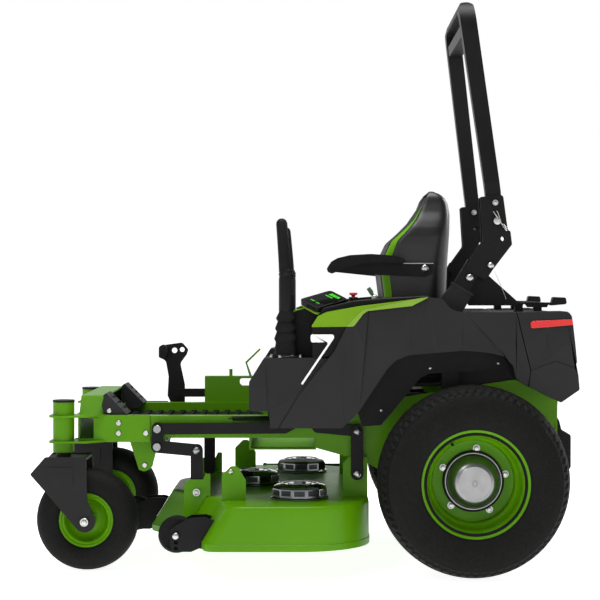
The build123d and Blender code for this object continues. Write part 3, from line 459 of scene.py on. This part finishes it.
# ------------------------------------------------------------------------ body panels
PANEL = [(-76, 471), (124, 471), (173, 517), (266, 658), (294, 686), (334, 702), (411, 709), (516, 717),
         (595, 709), (647, 696), (666, 668), (676, 625), (712, 604), (721, 650), (700, 735), (677, 838),
         (508, 838), (470, 846), (444, 881), (400, 886), (356, 880), (345, 857), (204, 841), (190, 831),
         (161, 793), (137, 790), (101, 717), (-13, 575)]
PANEL_ROUND = [6, 20, 80, 60, 60, 60, 0, 200, 80, 40, 40, 30, 6, 0, 0, 14, 60, 60, 16, 10, 10, 20, 30, 20, 12,
               8, 30, 60]
BLOCK = [(-171, 525), (-171, 618), (-125, CONSOLE_TOP), (84, CONSOLE_TOP), (92, 706), (-14, 574), (-78, 471),
         (-104, 469), (-108, 525)]
ACCENT = [(25, 791), (48, 826), (76, 839), (174, 857), (356, 880), (402, 887), (345, 858), (204, 842),
          (190, 831), (161, 793)]
ACCENT_BAND = [(136, 792), (190, 846), (349, 879), (402, 887), (345, 858), (204, 842), (190, 831), (161, 793)]
SEVEN = [(25, 743), (24, 768), (97, 768), (99, 757), (-1, 609), (-6, 613), (78, 737), (78, 744)]
CORNER = [(680, 838), (842, 841), (853, 826), (857, 796), (868, 681), (859, 663), (872, 640), (876, 593),
          (817, 552), (715, 603), (724, 650), (703, 735)]
LIGHT = [(722, 806), (728, 811), (854, 816), (857, 798), (727, 787), (722, 790)]
LINER = [(190, 470), (251, 474), (378, 626), (405, 639), (640, 653), (662, 622), (690, 625), (664, 666),
         (645, 694), (595, 707), (516, 715), (411, 707), (334, 698), (296, 685), (268, 657), (176, 517)]


def lean_in(bm, side, above, slope, outer):
    """Tips the outer face inwards above a height, along a crease."""
    bmesh.ops.bisect_plane(bm, geom=bm.verts[:] + bm.edges[:] + bm.faces[:], plane_co=(0, 0, above * MM),
                           plane_no=(0, 0, 1), dist=1e-6)
    for vert in bm.verts:
        over = vert.co.z / MM - above
        if over > 0 and vert.co.y * side / MM > outer - 1:
            vert.co.y -= side * over * slope * MM


def cover(name, outline, radii, side, low, high, material, edge=8, crease=None,
          slope=0.12):
    """Moulded cover with eased edges, leaning in above its crease; its broad faces are shaded flat."""
    bm = prism(rounded(outline, radii), side * low, side * high)
    bmesh.ops.triangulate(bm, faces=[f for f in bm.faces if len(f.verts) > 4])
    if crease:
        lean_in(bm, side, crease, slope, high)
    bmesh.ops.dissolve_limit(bm, angle_limit=radians(1), verts=bm.verts, edges=bm.edges)
    outer = (high - 45) * MM
    ease(bm, edge, 4, 35, lambda e: min(v.co.y * side for v in e.verts) > outer)
    bmesh.ops.triangulate(bm, faces=[f for f in bm.faces if len(f.verts) > 4])
    obj = piece(name, bm, material, "mower_frame", sharp=30)
    for face in obj.data.polygons:
        face.use_smooth = abs(face.normal.y) < 0.985
    return obj


def side_body(name, side):
    main = cover(f"fender_{name}", PANEL, PANEL_ROUND, side, PANEL_IN + 63, PANEL_OUT, PLASTIC, edge=14,
                 crease=735)
    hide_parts(f"side_panel_{name}")
    cover(f"console_block_{name}", BLOCK, [8, 14, 12, 0, 0, 0, 0, 4, 4], side, PANEL_IN, PANEL_OUT - 5,
          PLASTIC, edge=9, crease=600, slope=0.1)
    cover(f"accent_{name}", ACCENT, [4, 14, 10, 0, 8, 2, 8, 14, 12, 3], side, 425, PANEL_OUT - 9, LIME,
          edge=9)
    cover(f"accent_band_{name}", ACCENT_BAND, [2, 12, 6, 2, 8, 14, 12, 3], side, 480, PANEL_OUT - 7.6,
          PALE_LIME, edge=1.2)
    cover(f"day_light_{name}", SEVEN, [8, 8, 8, 10, 1, 1, 0, 4], side, 470, PANEL_OUT + 1, WHITE, edge=2)
    cowl = [(-33, CONSOLE_TOP), (-33, 838), (0, 852), (62, 862), (80, 838), (60, 790), (100, CONSOLE_TOP)]
    cover(f"console_cowl_{name}", cowl, [0, 26, 20, 10, 0, 0, 0], side, PANEL_IN, 388, DARK, edge=16)
    top = [(48, 824), (62, 852), (160, 875), (262, 884), (404, 891), (404, 850), (200, 836)]
    cover(f"console_top_{name}", top, [0, 20, 60, 60, 8, 0, 0], side, PANEL_IN, 462, DARK, edge=12)
    rim_line = [(-30, 842), (0, 852), (62, 859), (62, 856), (0, 848), (-30, 838)]
    cover(f"console_green_line_{name}", rim_line, [0] * 6, side, 380, 389, LIME, edge=1)
    back = [(30, 690), (104, 700), (150, 796), (30, 796)]
    cover(f"console_back_{name}", back, [0, 0, 0, 0], side, PANEL_IN, PANEL_OUT - 16, DARK, edge=3)
    ring = [(47, 0), (57, 0), (57, 4), (54, 7), (49, 7), (47, 5)]
    ring = lathe(ring, (LEVER_X, side * LEVER_Y, CONSOLE_TOP), "Z", 64)
    piece(f"boot_ring_{name}", ring, DARK, "mower_frame")
    bolts = []
    for dx, dy in ((-46, 34), (-18, 52), (46, 40), (46, -30), (-46, -30)):
        bolts.append(hex_bolt((LEVER_X + dx, side * (LEVER_Y + dy)), CONSOLE_TOP + 2, 1, 5, 7, axis="Z"))
    piece(f"console_bolts_{name}", join(*bolts), ZINC, "mower_frame")


def roll_bar_collar(name, side):
    """Plastic boot round the foot of the roll bar where it leaves the fender."""
    outline = [(488, 932), (548, 895), (516, 838), (508, 834), (448, 838), (440, 874)]
    bm = prism(rounded(outline, [6, 6, 6, 0, 0, 30]), side * 328, side * 384)
    ease(bm, 6, 3, 35)
    piece(f"roll_bar_collar_{name}", bm, PLASTIC, "mower_frame")
    lip = prism(rounded([(484, 936), (552, 896), (548, 888), (480, 928)], 3), side * 325, side * 387)
    ease(lip, 2, 2, 35)
    piece(f"roll_bar_collar_lip_{name}", lip, PLASTIC, "mower_frame")


def rear_corner(name, side):
    shell = cover(f"rear_corner_{name}", CORNER, [4, 16, 10, 0, 10, 8, 8, 8, 6, 4, 0, 0], side, PANEL_IN,
                  PANEL_OUT - 1, PLASTIC, edge=12, crease=735)
    if side > 0:
        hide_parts("rear_corner_panels")
    hatch = [(770, 778), (858, 786), (867, 681), (858, 664), (806, 684), (784, 716)]
    cover(f"corner_hatch_{name}", hatch, [6, 4, 6, 6, 20, 30], side, PANEL_OUT - 30, PANEL_OUT - 3, PLASTIC,
          edge=4, crease=735)
    facet = [(722, 652), (716, 604), (817, 553), (875, 594), (871, 640), (858, 662), (800, 682), (760, 668)]
    cover(f"corner_facet_{name}", facet, [0, 0, 4, 8, 6, 8, 20, 10], side, PANEL_OUT - 30, PANEL_OUT + 3,
          PLASTIC, edge=5)
    lens = cover(f"tail_lens_{name}", LIGHT, [3, 3, 5, 5, 3, 3], side, PANEL_OUT - 30, PANEL_OUT - 5, RED,
                 edge=3)
    if side > 0:
        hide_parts("tail_lights")


def liner(name, side):
    bm = prism(rounded(LINER, [0, 8, 20, 12, 14, 20, 0, 0, 0, 0, 0, 0, 0, 0, 0, 0]), side * 400, side * 412)
    ease(bm, 2, 2, 35)
    obj = piece(f"arch_liner_{name}_skin", bm, DARK, "mower_frame")
    if side > 0:
        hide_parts("arch_liners")
    bolts = [round_bolt(spot, side * 412, side, 5, 4) for spot in ((251, 522), (409, 657), (628, 673))]
    piece(f"arch_liner_bolts_{name}", join(*bolts), ZINC, "mower_frame")


for name, side in SIDES:
    side_body(name, side)
    roll_bar_collar(name, side)
    rear_corner(name, side)
    liner(name, side)


# ------------------------------------------------------------------------ console equipment
def display():
    """Screen on the left console, turned towards the driver."""
    corner, along, across = Vector((-12, -392, 879)), Vector((101, 62, 29)), Vector((56, -70, -29))
    long, wide = along.length, across.length
    up = along.cross(across).normalized()
    if up.z < 0:
        up = -up
    middle = corner + along / 2 + across / 2
    turn = Matrix((along.normalized(), across.normalized(), up)).transposed().to_4x4()
    place = Matrix.Translation(middle * MM) @ turn

    def slab(half_long, half_wide, low, high, radius, edge):
        bm = prism(rounded([(-half_long, -half_wide), (half_long, -half_wide), (half_long, half_wide),
                            (-half_long, half_wide)], radius), low, high, "Z")
        if edge:
            ease(bm, edge, 3, 35)
        return moved(bm, place)

    case = piece("display_case", slab(long / 2, wide / 2, -16, 0, 14, 5), DARK, "mower_frame")
    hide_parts("display_unit")
    base = slab(long / 2 - 1, wide / 2 - 1, -24, -17, 14, 3)
    piece("display_base", base, LIME, "mower_frame")
    glass = slab(long / 2 - 12, wide / 2 - 12, -1, 1.2, 6, 0.6)
    piece("display_glass", glass, SCREEN, "mower_frame")
    bars = []
    for x, y, half_x, half_y in ((-34, 0, 3, 22), (24, 0, 3, 22), (40, 4, 7, 24)):
        bar = prism(rounded([(x - half_x, y - half_y), (x + half_x, y - half_y), (x + half_x, y + half_y),
                             (x - half_x, y + half_y)], 2.5), 1.2, 1.7, "Z")
        bars.append(moved(bar, place))
    piece("display_bars", join(*bars), LIT_GREEN, "mower_frame")
    foot = prism(rounded([(0, 852), (30, 872), (110, 885), (110, 862)], 6), -420, -350)
    ease(foot, 5, 2, 35)
    piece("display_foot", foot, DARK, "mower_frame")


def switch_and_key():
    stem = [(0, 872), (7, 872), (6, 884), (6, 889), (8, 892), (13.5, 894), (13.5, 898), (12, 900), (0, 900.5)]
    knob = piece("blade_switch_cap", lathe(stem, SWITCH, "Z", 40, closed=False), RED, "blade_switch")
    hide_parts("pto_knob")
    collar = [(8, 873), (15, 873), (15, 884), (13, 886), (8, 886)]
    piece("blade_switch_collar", lathe(collar, SWITCH, "Z", 40), STEEL, "mower_frame")
    tab = [(206, 912), (217, 919), (228, 905), (228, 898), (240, 889), (228, 882), (216, 896)]
    tab = prism(rounded(tab, 2), -352, -349)
    piece("key_tab", tab, finish_of("key_grey_green", (84, 112, 84), 0.45, grain=(700, 0.1)), "mower_frame")
    barrel = [(0, 880), (9, 880), (9, 890), (7, 892), (0, 892)]
    piece("key_switch", lathe(barrel, KEY, "Z", 32, closed=False), ZINC, "mower_frame")


display()
switch_and_key()


# ------------------------------------------------------------------------ control levers
def rounded_square(half, z, x, y, sharpness=3.2, count=32):
    ring = []
    for k in range(count):
        angle = 2 * pi * k / count
        c, s = cos(angle), sin(angle)
        r = half / (abs(c) ** sharpness + abs(s) ** sharpness) ** (1 / sharpness)
        ring.append((x + r * c, y + r * s, z))
    return ring


def control_lever(name, side):
    body, y = f"lever_{name}", side * LEVER_Y
    folds = [(37, 702), (37, 708), (33, 742), (38, 752), (37.5, 755), (30, 775), (35, 785), (34.5, 788),
             (26.5, 808), (32, 817), (31.5, 820), (22.5, 838), (22, 842)]
    boot = grid([rounded_square(half, z, LEVER_X, y) for half, z in folds], wrap=True, caps=True)
    piece(f"lever_boot_{name}", boot, RUBBER, body, sharp=25)
    sleeve = [(0, 838), (22.5, 838), (23, 842), (23, 946), (22, 950), (22, 955), (23.5, 957), (23.5, 961),
              (22, 963), (22, 966), (23.5, 968), (23, 972), (20, 974), (20, 980), (0, 980)]
    piece(f"lever_sleeve_{name}", lathe(sleeve, (LEVER_X, y, 0), "Z", 48, closed=False), STEEL, body,
          sharp=25)
    path, sizes = [], []
    count = 26
    for k in range(count + 1):
        t = k / count
        z = 974 + 148 * t
        path.append((LEVER_X - 3 - 11 * t ** 1.2, y - side * 26 * t ** 2, z))
        sizes.append(20 - 1.8 * t)
    top = Vector(path[-1])
    way = (Vector(path[-1]) - Vector(path[-2])).normalized()
    for k in range(1, 7):
        angle = radians(15 * k)
        path.append(tuple(top + way * 18 * sin(angle)))
        sizes.append(max(0.6, 18.2 * cos(angle)))
    grip = tube(path, lambda i: sizes[i], 32)
    obj = piece(f"lever_grip_{name}", grip, RUBBER, body)
    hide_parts(f"control_lever_{name}")


for name, side in SIDES:
    control_lever(name, side)


# ------------------------------------------------------------------------ seat
# Seat back: (height, X) of its front and rear, how far the bolster stands out, and (height, half width).
BACK_FRONT = [(770, 330), (800, 300), (877, 275), (963, 264), (1027, 275), (1071, 292), (1110, 332),
              (1143, 361), (1193, 389), (1222, 402), (1240, 420)]
BOLSTER = [(770, 20), (1000, 20), (1070, 13), (1120, 8), (1160, 5), (1200, 3), (1240, 2)]
BACK_REAR = [(770, 476), (888, 483), (991, 487), (1100, 494), (1165, 496), (1200, 490), (1221, 478),
             (1234, 458), (1240, 440)]
BACK_HALF = [(770, 240), (1060, 243), (1090, 241), (1115, 234), (1140, 221), (1170, 203), (1200, 190),
             (1222, 183), (1235, 172), (1240, 160)]


def seat_back():
    heights = [770 + 470 * k / 60 for k in range(61)]
    rows = []
    for z in heights:
        front, rear, half = along(BACK_FRONT, z), along(BACK_REAR, z), along(BACK_HALF, z)
        row = []
        for k in range(72):
            angle = 2 * pi * k / 72
            c, s = cos(angle), sin(angle)
            power = 9 if c < 0 else 4.5
            r = 1 / (abs(c) ** power + abs(s) ** power) ** (1 / power)
            depth = (front + rear) / 2 + (rear - front) / 2 * r * c
            if c < 0:
                depth += 42 * (1 - (abs(r * s)) ** 2.5) * (-c) ** 0.5
            row.append((depth, half * r * s, z))
        rows.append(row)
    shell = grid(rows, wrap=True, caps=True)
    obj = piece("seat_back_shell", shell, SHELL, "seat", sharp=45)
    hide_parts("seat_back")

    def pad_surface(inset, lift, crown, wide):
        rows = []
        for k in range(57):
            t = k / 56
            z = 785 + inset + (440 - 2 * inset) * t
            half = along(BACK_HALF, z) - wide
            front, rear = along(BACK_FRONT, z), along(BACK_REAR, z)
            row = []
            for j in range(65):
                s = -1 + 2 * j / 64
                true = abs(s) * half / along(BACK_HALF, z)
                rim = min(1, (1 - abs(s)) * 12) * min(1, t * 12, (1 - t) * 10)
                corner = (rear - front) / 2 * (1 - (1 - true ** 9) ** (1 / 9))
                rise = along(BOLSTER, z) + lift + crown * sqrt(max(0, rim))
                row.append((front + corner + 42 * (1 - true ** 2.5) - rise, half * s, z))
            rows.append(row)
        return rows

    def closed_pad(name, rows, material, thick):
        front = grid(rows)
        back = grid([[(x + thick, y, z) for x, y, z in row] for row in rows])
        bm = join(front, back)
        rim = [e for e in bm.edges if len(e.link_faces) == 1]
        bmesh.ops.bridge_loops(bm, edges=rim)
        return piece(name, bm, material, "seat", sharp=60)

    closed_pad("seat_back_bolster", pad_surface(0, -8, 8, 5), GREEN_VINYL, 26)
    closed_pad("seat_back_pad", pad_surface(26, 2, 8, 34), VINYL, 16)


def seat_cushion():
    rows = []
    x0, x1, half = 84, 396, 246
    for k in range(61):
        t = k / 60
        row = []
        for j in range(61):
            s = -1 + 2 * j / 60
            x = x0 + (x1 - x0) * t
            edge = min(1, (1 - abs(s)) * 6) * min(1, t * 7, (1 - t) * 9)
            bolster = 16 * max(0, (abs(s) - 0.55) / 0.45) ** 1.5
            dip = -8 * sin(pi * t) * (1 - s * s)
            seam = -5 * max(0, 1 - abs(abs(s) - 0.6) * 60)
            seam -= 4 * max(0, 1 - abs(t - 0.5) * 70) * (abs(s) < 0.6)
            z = 700 + 42 * sqrt(max(0, edge)) + bolster * edge + dip + seam + 10 * (1 - t) * (t > 0.1)
            corner = 1 - 0.04 * max(0, abs(s) - 0.8) / 0.2 * (abs(t - 0.5) * 2) ** 4
            row.append((x, half * s * corner, z))
        rows.append(row)
    top = grid(rows)
    bottom = grid([[(x, y, 669) for x, y, z in row] for row in rows])
    bm = join(top, bottom)
    bmesh.ops.bridge_loops(bm, edges=[e for e in bm.edges if len(e.link_faces) == 1])
    cushion = piece("seat_cushion_pad", bm, VINYL, "seat", sharp=60)
    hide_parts("seat_cushion")
    edge = [(86, -230, 706), (84, -200, 708), (84, 200, 708), (86, 230, 706)]
    piece("seat_front_piping", tube(edge, 5, 12), GREEN_VINYL, "seat")
    for i, y in enumerate((-1, 1)):
        side_line = [(90, y * 243, 704), (140, y * 247, 706), (340, y * 247, 706), (392, y * 243, 704)]
        piece(f"seat_side_piping_{i}", tube(side_line, 5, 12), GREEN_VINYL, "seat")
    pan = box(100, 470, -190, 190, 656, 668)
    ease(pan, 2, 2)
    piece("seat_pan_plate", pan, STEEL, "seat")
    ears = join(box(108, 132, -190, -176, 630, 657), box(108, 132, 176, 190, 630, 657))
    piece("seat_hinge_ears", ears, STEEL, "seat")


def armrest(name, side):
    y, body = side * 288, f"arm_{name}"
    outline = [(82, 985), (91, 1001), (111, 1013), (152, 1023), (222, 1027), (291, 1022), (326, 1014),
               (338, 1004), (332, 996), (251, 999), (193, 995), (126, 976), (100, 967), (86, 973)]
    pad = prism(rounded(outline, [8, 12, 30, 60, 150, 60, 16, 6, 8, 60, 60, 20, 10, 8]), y - 26, y + 26)
    ease(pad, 10, 5, 35)
    obj = piece(f"armrest_pad_{name}", pad, RUBBER, body, sharp=50)
    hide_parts(f"armrest_{name}")
    arm = [(106, 973), (250, 958), (402, 952), (428, 962), (430, 997), (330, 1000), (200, 1002), (130, 984)]
    faces = sorted((side * 254, side * 262))
    bm = prism(rounded(arm, [0, 60, 30, 12, 4, 0, 0, 0]), *faces)
    ease(bm, 1.5, 2, 35)
    piece(f"armrest_arm_{name}", bm, STEEL, body)
    edge = box(330, 430, side * 254, side * 266, 995, 998)
    piece(f"armrest_edge_{name}", edge, BRIGHT, body)
    piece(f"armrest_bolt_{name}", round_bolt((402, 980), side * 262, side, 13, 8), ZINC, body)


seat_back()
seat_cushion()
for name, side in SIDES:
    armrest(name, side)


# ------------------------------------------------------------------------ roll bar trim
def roll_bar_trim(name, side):
    bolts = [hex_bolt(ROPS_HINGE, side * 390, side, 7, 8), round_bolt((606, 988), side * 388, side, 11, 9),
             round_bolt((539, 948), side * 380, side, 13, 9), round_bolt((606, 988), side * 328, -side, 10, 8),
             hex_bolt(ROPS_HINGE, side * 320, -side, 7, 8), round_bolt((650, 878), side * 328, -side, 9, 7)]
    piece(f"roll_bar_bolts_{name}", join(*bolts), ZINC, "mower_frame")
    pin = outward([(0, 0), (12, 0), (12, 5), (8, 6), (8, 13), (0, 14)], side)
    pin = lathe(pin, (ROPS_LOCK[0], side * 391, ROPS_LOCK[1]), count=32, closed=False)
    y = side * 397
    wire = [(ROPS_LOCK[0] - 13 + 42 * k / 9, y + side * 2 * sin(k), ROPS_LOCK[1] + 30 - 62 * k / 9)
            for k in range(10)]
    back = [(ROPS_LOCK[0] + 29 - 4 * k, y, ROPS_LOCK[1] - 32 + 7.5 * k + 7 * sin(1.1 * k)) for k in range(9)]
    clip = join(pin, tube(wire, 1.9, 8), tube(back, 1.9, 8))
    obj = piece(f"lock_pin_{name}_clip", clip, ZINC, f"lock_pin_{name}")
    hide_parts(f"rops_lock_pin_{name}")
    wire = [(619, side * 384, 968), (640, side * 376, 925), (658, side * 366, 880)]
    piece(f"pin_lanyard_{name}", tube(wire, 0.9, 8), ZINC, "mower_frame")


for name, side in SIDES:
    roll_bar_trim(name, side)


# ------------------------------------------------------------------------ deck, linkage and front
def deck_line(z, move, inset):
    """Plan outline of the deck at a height, moved back at the front and drawn in all round."""
    side, radius = DECK_SIDE - inset, DECK_CORNER - inset
    half = rounded([(0, 0), (-512 + move + inset, 0), (-512 + move + inset, 150), (-338 + move + inset, 430),
                    (-304 + move + inset, side), (0, side)], [0, 0, 60, 60, 45, 0], 5)[2:-1]
    for k in range(19):
        angle = radians(90 - 5 * k)
        half.append((DECK_CORNER_X + radius * cos(angle), DECK_SIDE - DECK_CORNER + radius * sin(angle)))
    return [(x, y, z) for x, y in half] + [(x, -y, z) for x, y in reversed(half)]


def deck_shell():
    """Deck skin through plan outlines, each (height, moved back, drawn in), with a rounded top edge."""
    edge, band = 12, 2
    outer = [(DECK_BOTTOM, 0, 0.5), (DECK_BOTTOM + 0.5, 0, 0), (DECK_CREASE - 2, 0, 0), (DECK_CREASE, 0, band)]
    outer += [(DECK_CREASE + 106 * k / 4, 65 * k / 4, band) for k in range(1, 5)]
    for a in (18, 36, 54, 72, 90):
        s, c = sin(radians(a)), cos(radians(a))
        outer.append((DECK_TOP - edge * (1 - s), NOSE_SLOPE - 7 * c, band + edge * (1 - c)))
    inner = [(DECK_TOP - 4, NOSE_SLOPE, 15), (DECK_TOP - 10, NOSE_SLOPE - 4, 8), (DECK_CREASE, 0, 6),
             (DECK_BOTTOM + 2, 0, 5), (DECK_BOTTOM, 0, 4.5)]
    shell = grid([deck_line(*row) for row in reversed(outer)] + [deck_line(*row) for row in reversed(inner)],
                 wrap=True, caps=True)
    obj = piece("deck_shell_skin", shell, GREEN, "mower_deck", sharp=28)
    cutter = bpy.data.objects.new("chute_cutter", bpy.data.meshes.new("chute_cutter"))
    bm = box(-150, 150, 560, 640, DECK_BOTTOM + 6, 214)
    bm.to_mesh(cutter.data)
    bm.free()
    bpy.context.scene.collection.objects.link(cutter)
    cut = obj.modifiers.new("chute", "BOOLEAN")
    cut.object, cut.operation, cut.solver = cutter, "DIFFERENCE", "EXACT"
    bpy.context.view_layer.update()
    made = bpy.data.meshes.new_from_object(obj.evaluated_get(bpy.context.evaluated_depsgraph_get()))
    obj.modifiers.clear()
    obj.data = made
    bpy.data.objects.remove(cutter)
    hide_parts("deck_shell")


def blade_motors():
    """Twelve-sided drums with dark windows and stepped lids."""
    drums, windows, caps = [], [], []
    for x, y in BLADES:
        drum = [(0, DECK_TOP), (94, DECK_TOP), (96, 240), (96, 243), (90, 246), (89, 272), (85, 278), (76, 282),
                (64, 284), (60, 287), (56, 287), (54, 285), (40, 285), (38, 287), (0, 287)]
        drums.append(lathe(drum, (x, y, 0), "Z", 12, closed=False, start=pi / 12))
        turned = [Matrix.Translation((x * MM, y * MM, 0)) @ Matrix.Rotation(radians(30 * i), 4, "Z")
                  for i in range(12)]
        for turn in turned:
            windows.append(moved(box(80, 87.4, -17, 17, 252, 269), turn))
        hub = [(0, 286), (18, 286), (20, 287), (20, 290), (12, 291), (12, 292), (0, 292)]
        caps.append(lathe(hub, (x, y, 0), "Z", 32, closed=False))
    obj = piece("blade_motor_drums", join(*drums), GUNMETAL, "mower_deck", sharp=20)
    shade = finish_of("motor_window", (58, 60, 62), 0.25, metal=1.0, grain=(300, 0.04), mottle=(10, 0.2))
    piece("blade_motor_windows", join(*windows), shade, "mower_deck", sharp=30)
    piece("blade_motor_caps", join(*caps), BRIGHT, "mower_deck", sharp=30)
    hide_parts("blade_motors")


def coil(x0, x1, y, z, radius, wire, turns):
    steps = turns * 12
    path = []
    for k in range(steps + 1):
        angle = 2 * pi * k / 12
        path.append((x0 + (x1 - x0) * k / steps, y + radius * cos(angle), z + radius * sin(angle)))
    return tube(path, wire, 8)


def lift_springs():
    parts = []
    for side in (-1, 1):
        y = side * 352
        parts.append(coil(-232, -112, y, 490.5, 6.8, 1.5, 26))
        parts.append(tube([(-245, y, 490), (-238, y, 490), (-232, y + 4, 490)], 1.5, 8))
    obj = piece("lift_spring_coils", join(*parts), STEEL, "mower_frame")
    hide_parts("lift_springs")


def linkage_pins():
    flat = [(0, 0), (13, 0), (13, 4), (12, 5), (0, 5)]
    for name, side in SIDES:
        front = [lathe(outward(flat, side), (x, side * face, z), count=40, closed=False)
                 for x, z, face in ((-475, 399, 363), (-473, 458, 376))]
        front.append(round_bolt((-347, 387), side * 362, side, 12, 8))
        piece(f"front_link_pins_{name}", join(*front), BRIGHT, "front_lift")
        rear = [round_bolt((175, 450), side * 376, side, 12, 8)]
        piece(f"rear_link_pins_{name}", join(*rear), BRIGHT, "rear_lift")
        deck = [round_bolt((175, 312), side * 375, side, 12, 8), hex_bolt((-347, 251), side * 360, side, 9, 9),
                round_bolt((-230, 329), side * 460, side, 8, 6)]
        for x, y in SCALP_WHEELS.values():
            if (y < 0) == (side < 0) and y:
                deck.append(round_bolt((x, SCALP_Z), y + side * 46, side, 11, 8))
        piece(f"deck_bolts_{name}", join(*deck), ZINC, "mower_deck")


def fork_trim(name, side):
    y = side * CASTER_Y
    bolts = [hex_bolt((CASTER_X, CASTER_R), y + 94 * way, way, 10, 8) for way in (-1, 1)]
    piece(f"caster_axle_nuts_{name}", join(*bolts), ZINC, f"caster_{name}")


deck_shell()
blade_motors()
lift_springs()
linkage_pins()
for name, side in SIDES:
    fork_trim(name, side)


# ------------------------------------------------------------------------ finishes of the CAD pieces
FINISHES = {
    GREEN: ["chassis_frame", "front_axle_beam", "lift_tower", "deck_brackets"],
    STEEL: ["rops_lower_posts", "rops_hoop", "rear_rack", "seat_base", "seat_slider", "wheel_motors",
            "lift_arms_front", "lift_arms_rear", "lift_pedal", "lift_link", "push_bars", "deck_hangers",
            "caster_bearings", "blade_left", "blade_centre", "blade_right"],
    FORK: ["caster_fork_left", "caster_fork_right"],
    PLASTIC: ["foot_rests", "rear_hood"],
    DARK: ["rear_bumper", "battery_modules", "discharge_chute"],
    RUBBER: ["floor_pan"],
    ZINC: ["frame_bolts", "lever_pivot_left", "lever_pivot_right"],
}
for material, names in FINISHES.items():
    for node in names:
        paint(node, material)


# ------------------------------------------------------------------------ camera, light and floor
def studio():
    scene = bpy.context.scene
    camera = bpy.data.objects.new("camera", bpy.data.cameras.new("camera"))
    scene.collection.objects.link(camera)
    camera.location = (0.0319, -5.774, 0.9185)
    camera.rotation_euler = (radians(90), 0, 0)
    camera.data.sensor_width = 36
    camera.data.lens = 100
    camera.data.shift_x = -0.0217
    camera.data.shift_y = -0.0217
    scene.camera = camera

    floor = bpy.data.objects.new("floor", bpy.data.meshes.new("floor"))
    bm = bmesh.new()
    bmesh.ops.create_grid(bm, x_segments=1, y_segments=1, size=30)
    bm.to_mesh(floor.data)
    bm.free()
    floor.location.z = -0.001
    scene.collection.objects.link(floor)
    finish = finish_of("studio_floor", (240, 240, 240), 0.9, grain=(3, 0.0), mottle=(1, 0.0), specular=0.0)
    shader = finish.node_tree.nodes["Principled BSDF"]
    shader.inputs["Emission Color"].default_value = (1, 1, 1, 1)
    shader.inputs["Emission Strength"].default_value = 0.9
    floor.data.materials.append(finish)

    world = bpy.data.worlds.new("studio")
    world.use_nodes = True
    nodes, links = world.node_tree.nodes, world.node_tree.links
    height = nodes.new("ShaderNodeSeparateXYZ")
    links.new(nodes.new("ShaderNodeTexCoord").outputs["Generated"], height.inputs["Vector"])
    band = nodes.new("ShaderNodeValToRGB")
    band.color_ramp.elements[0].position, band.color_ramp.elements[0].color = 0.19, (1, 1, 1, 1)
    band.color_ramp.elements[1].position, band.color_ramp.elements[1].color = 0.26, (0.2, 0.2, 0.2, 1)
    links.new(height.outputs["Z"], band.inputs["Fac"])
    links.new(band.outputs["Color"], nodes["Background"].inputs["Color"])
    scene.world = world
    for name, place, aim, power, size in (("top", (0.2, -0.4, 4.6), (0.1, 0, 0.6), 170, 2.2),
                                          ("key", (-2.5, -4.0, 4.4), (0, 0, 0.6), 60, 1.6),
                                          ("rear", (3.4, 3.2, 2.8), (0.3, 0, 0.9), 60, 1.6)):
        lamp = bpy.data.lights.new(name, "AREA")
        lamp.energy, lamp.size = power, size
        obj = bpy.data.objects.new(name, lamp)
        obj.location = place
        obj.rotation_euler = (Vector(aim) - Vector(place)).to_track_quat("-Z", "Y").to_euler()
        scene.collection.objects.link(obj)
    scene.view_settings.view_transform = "Standard"


studio()
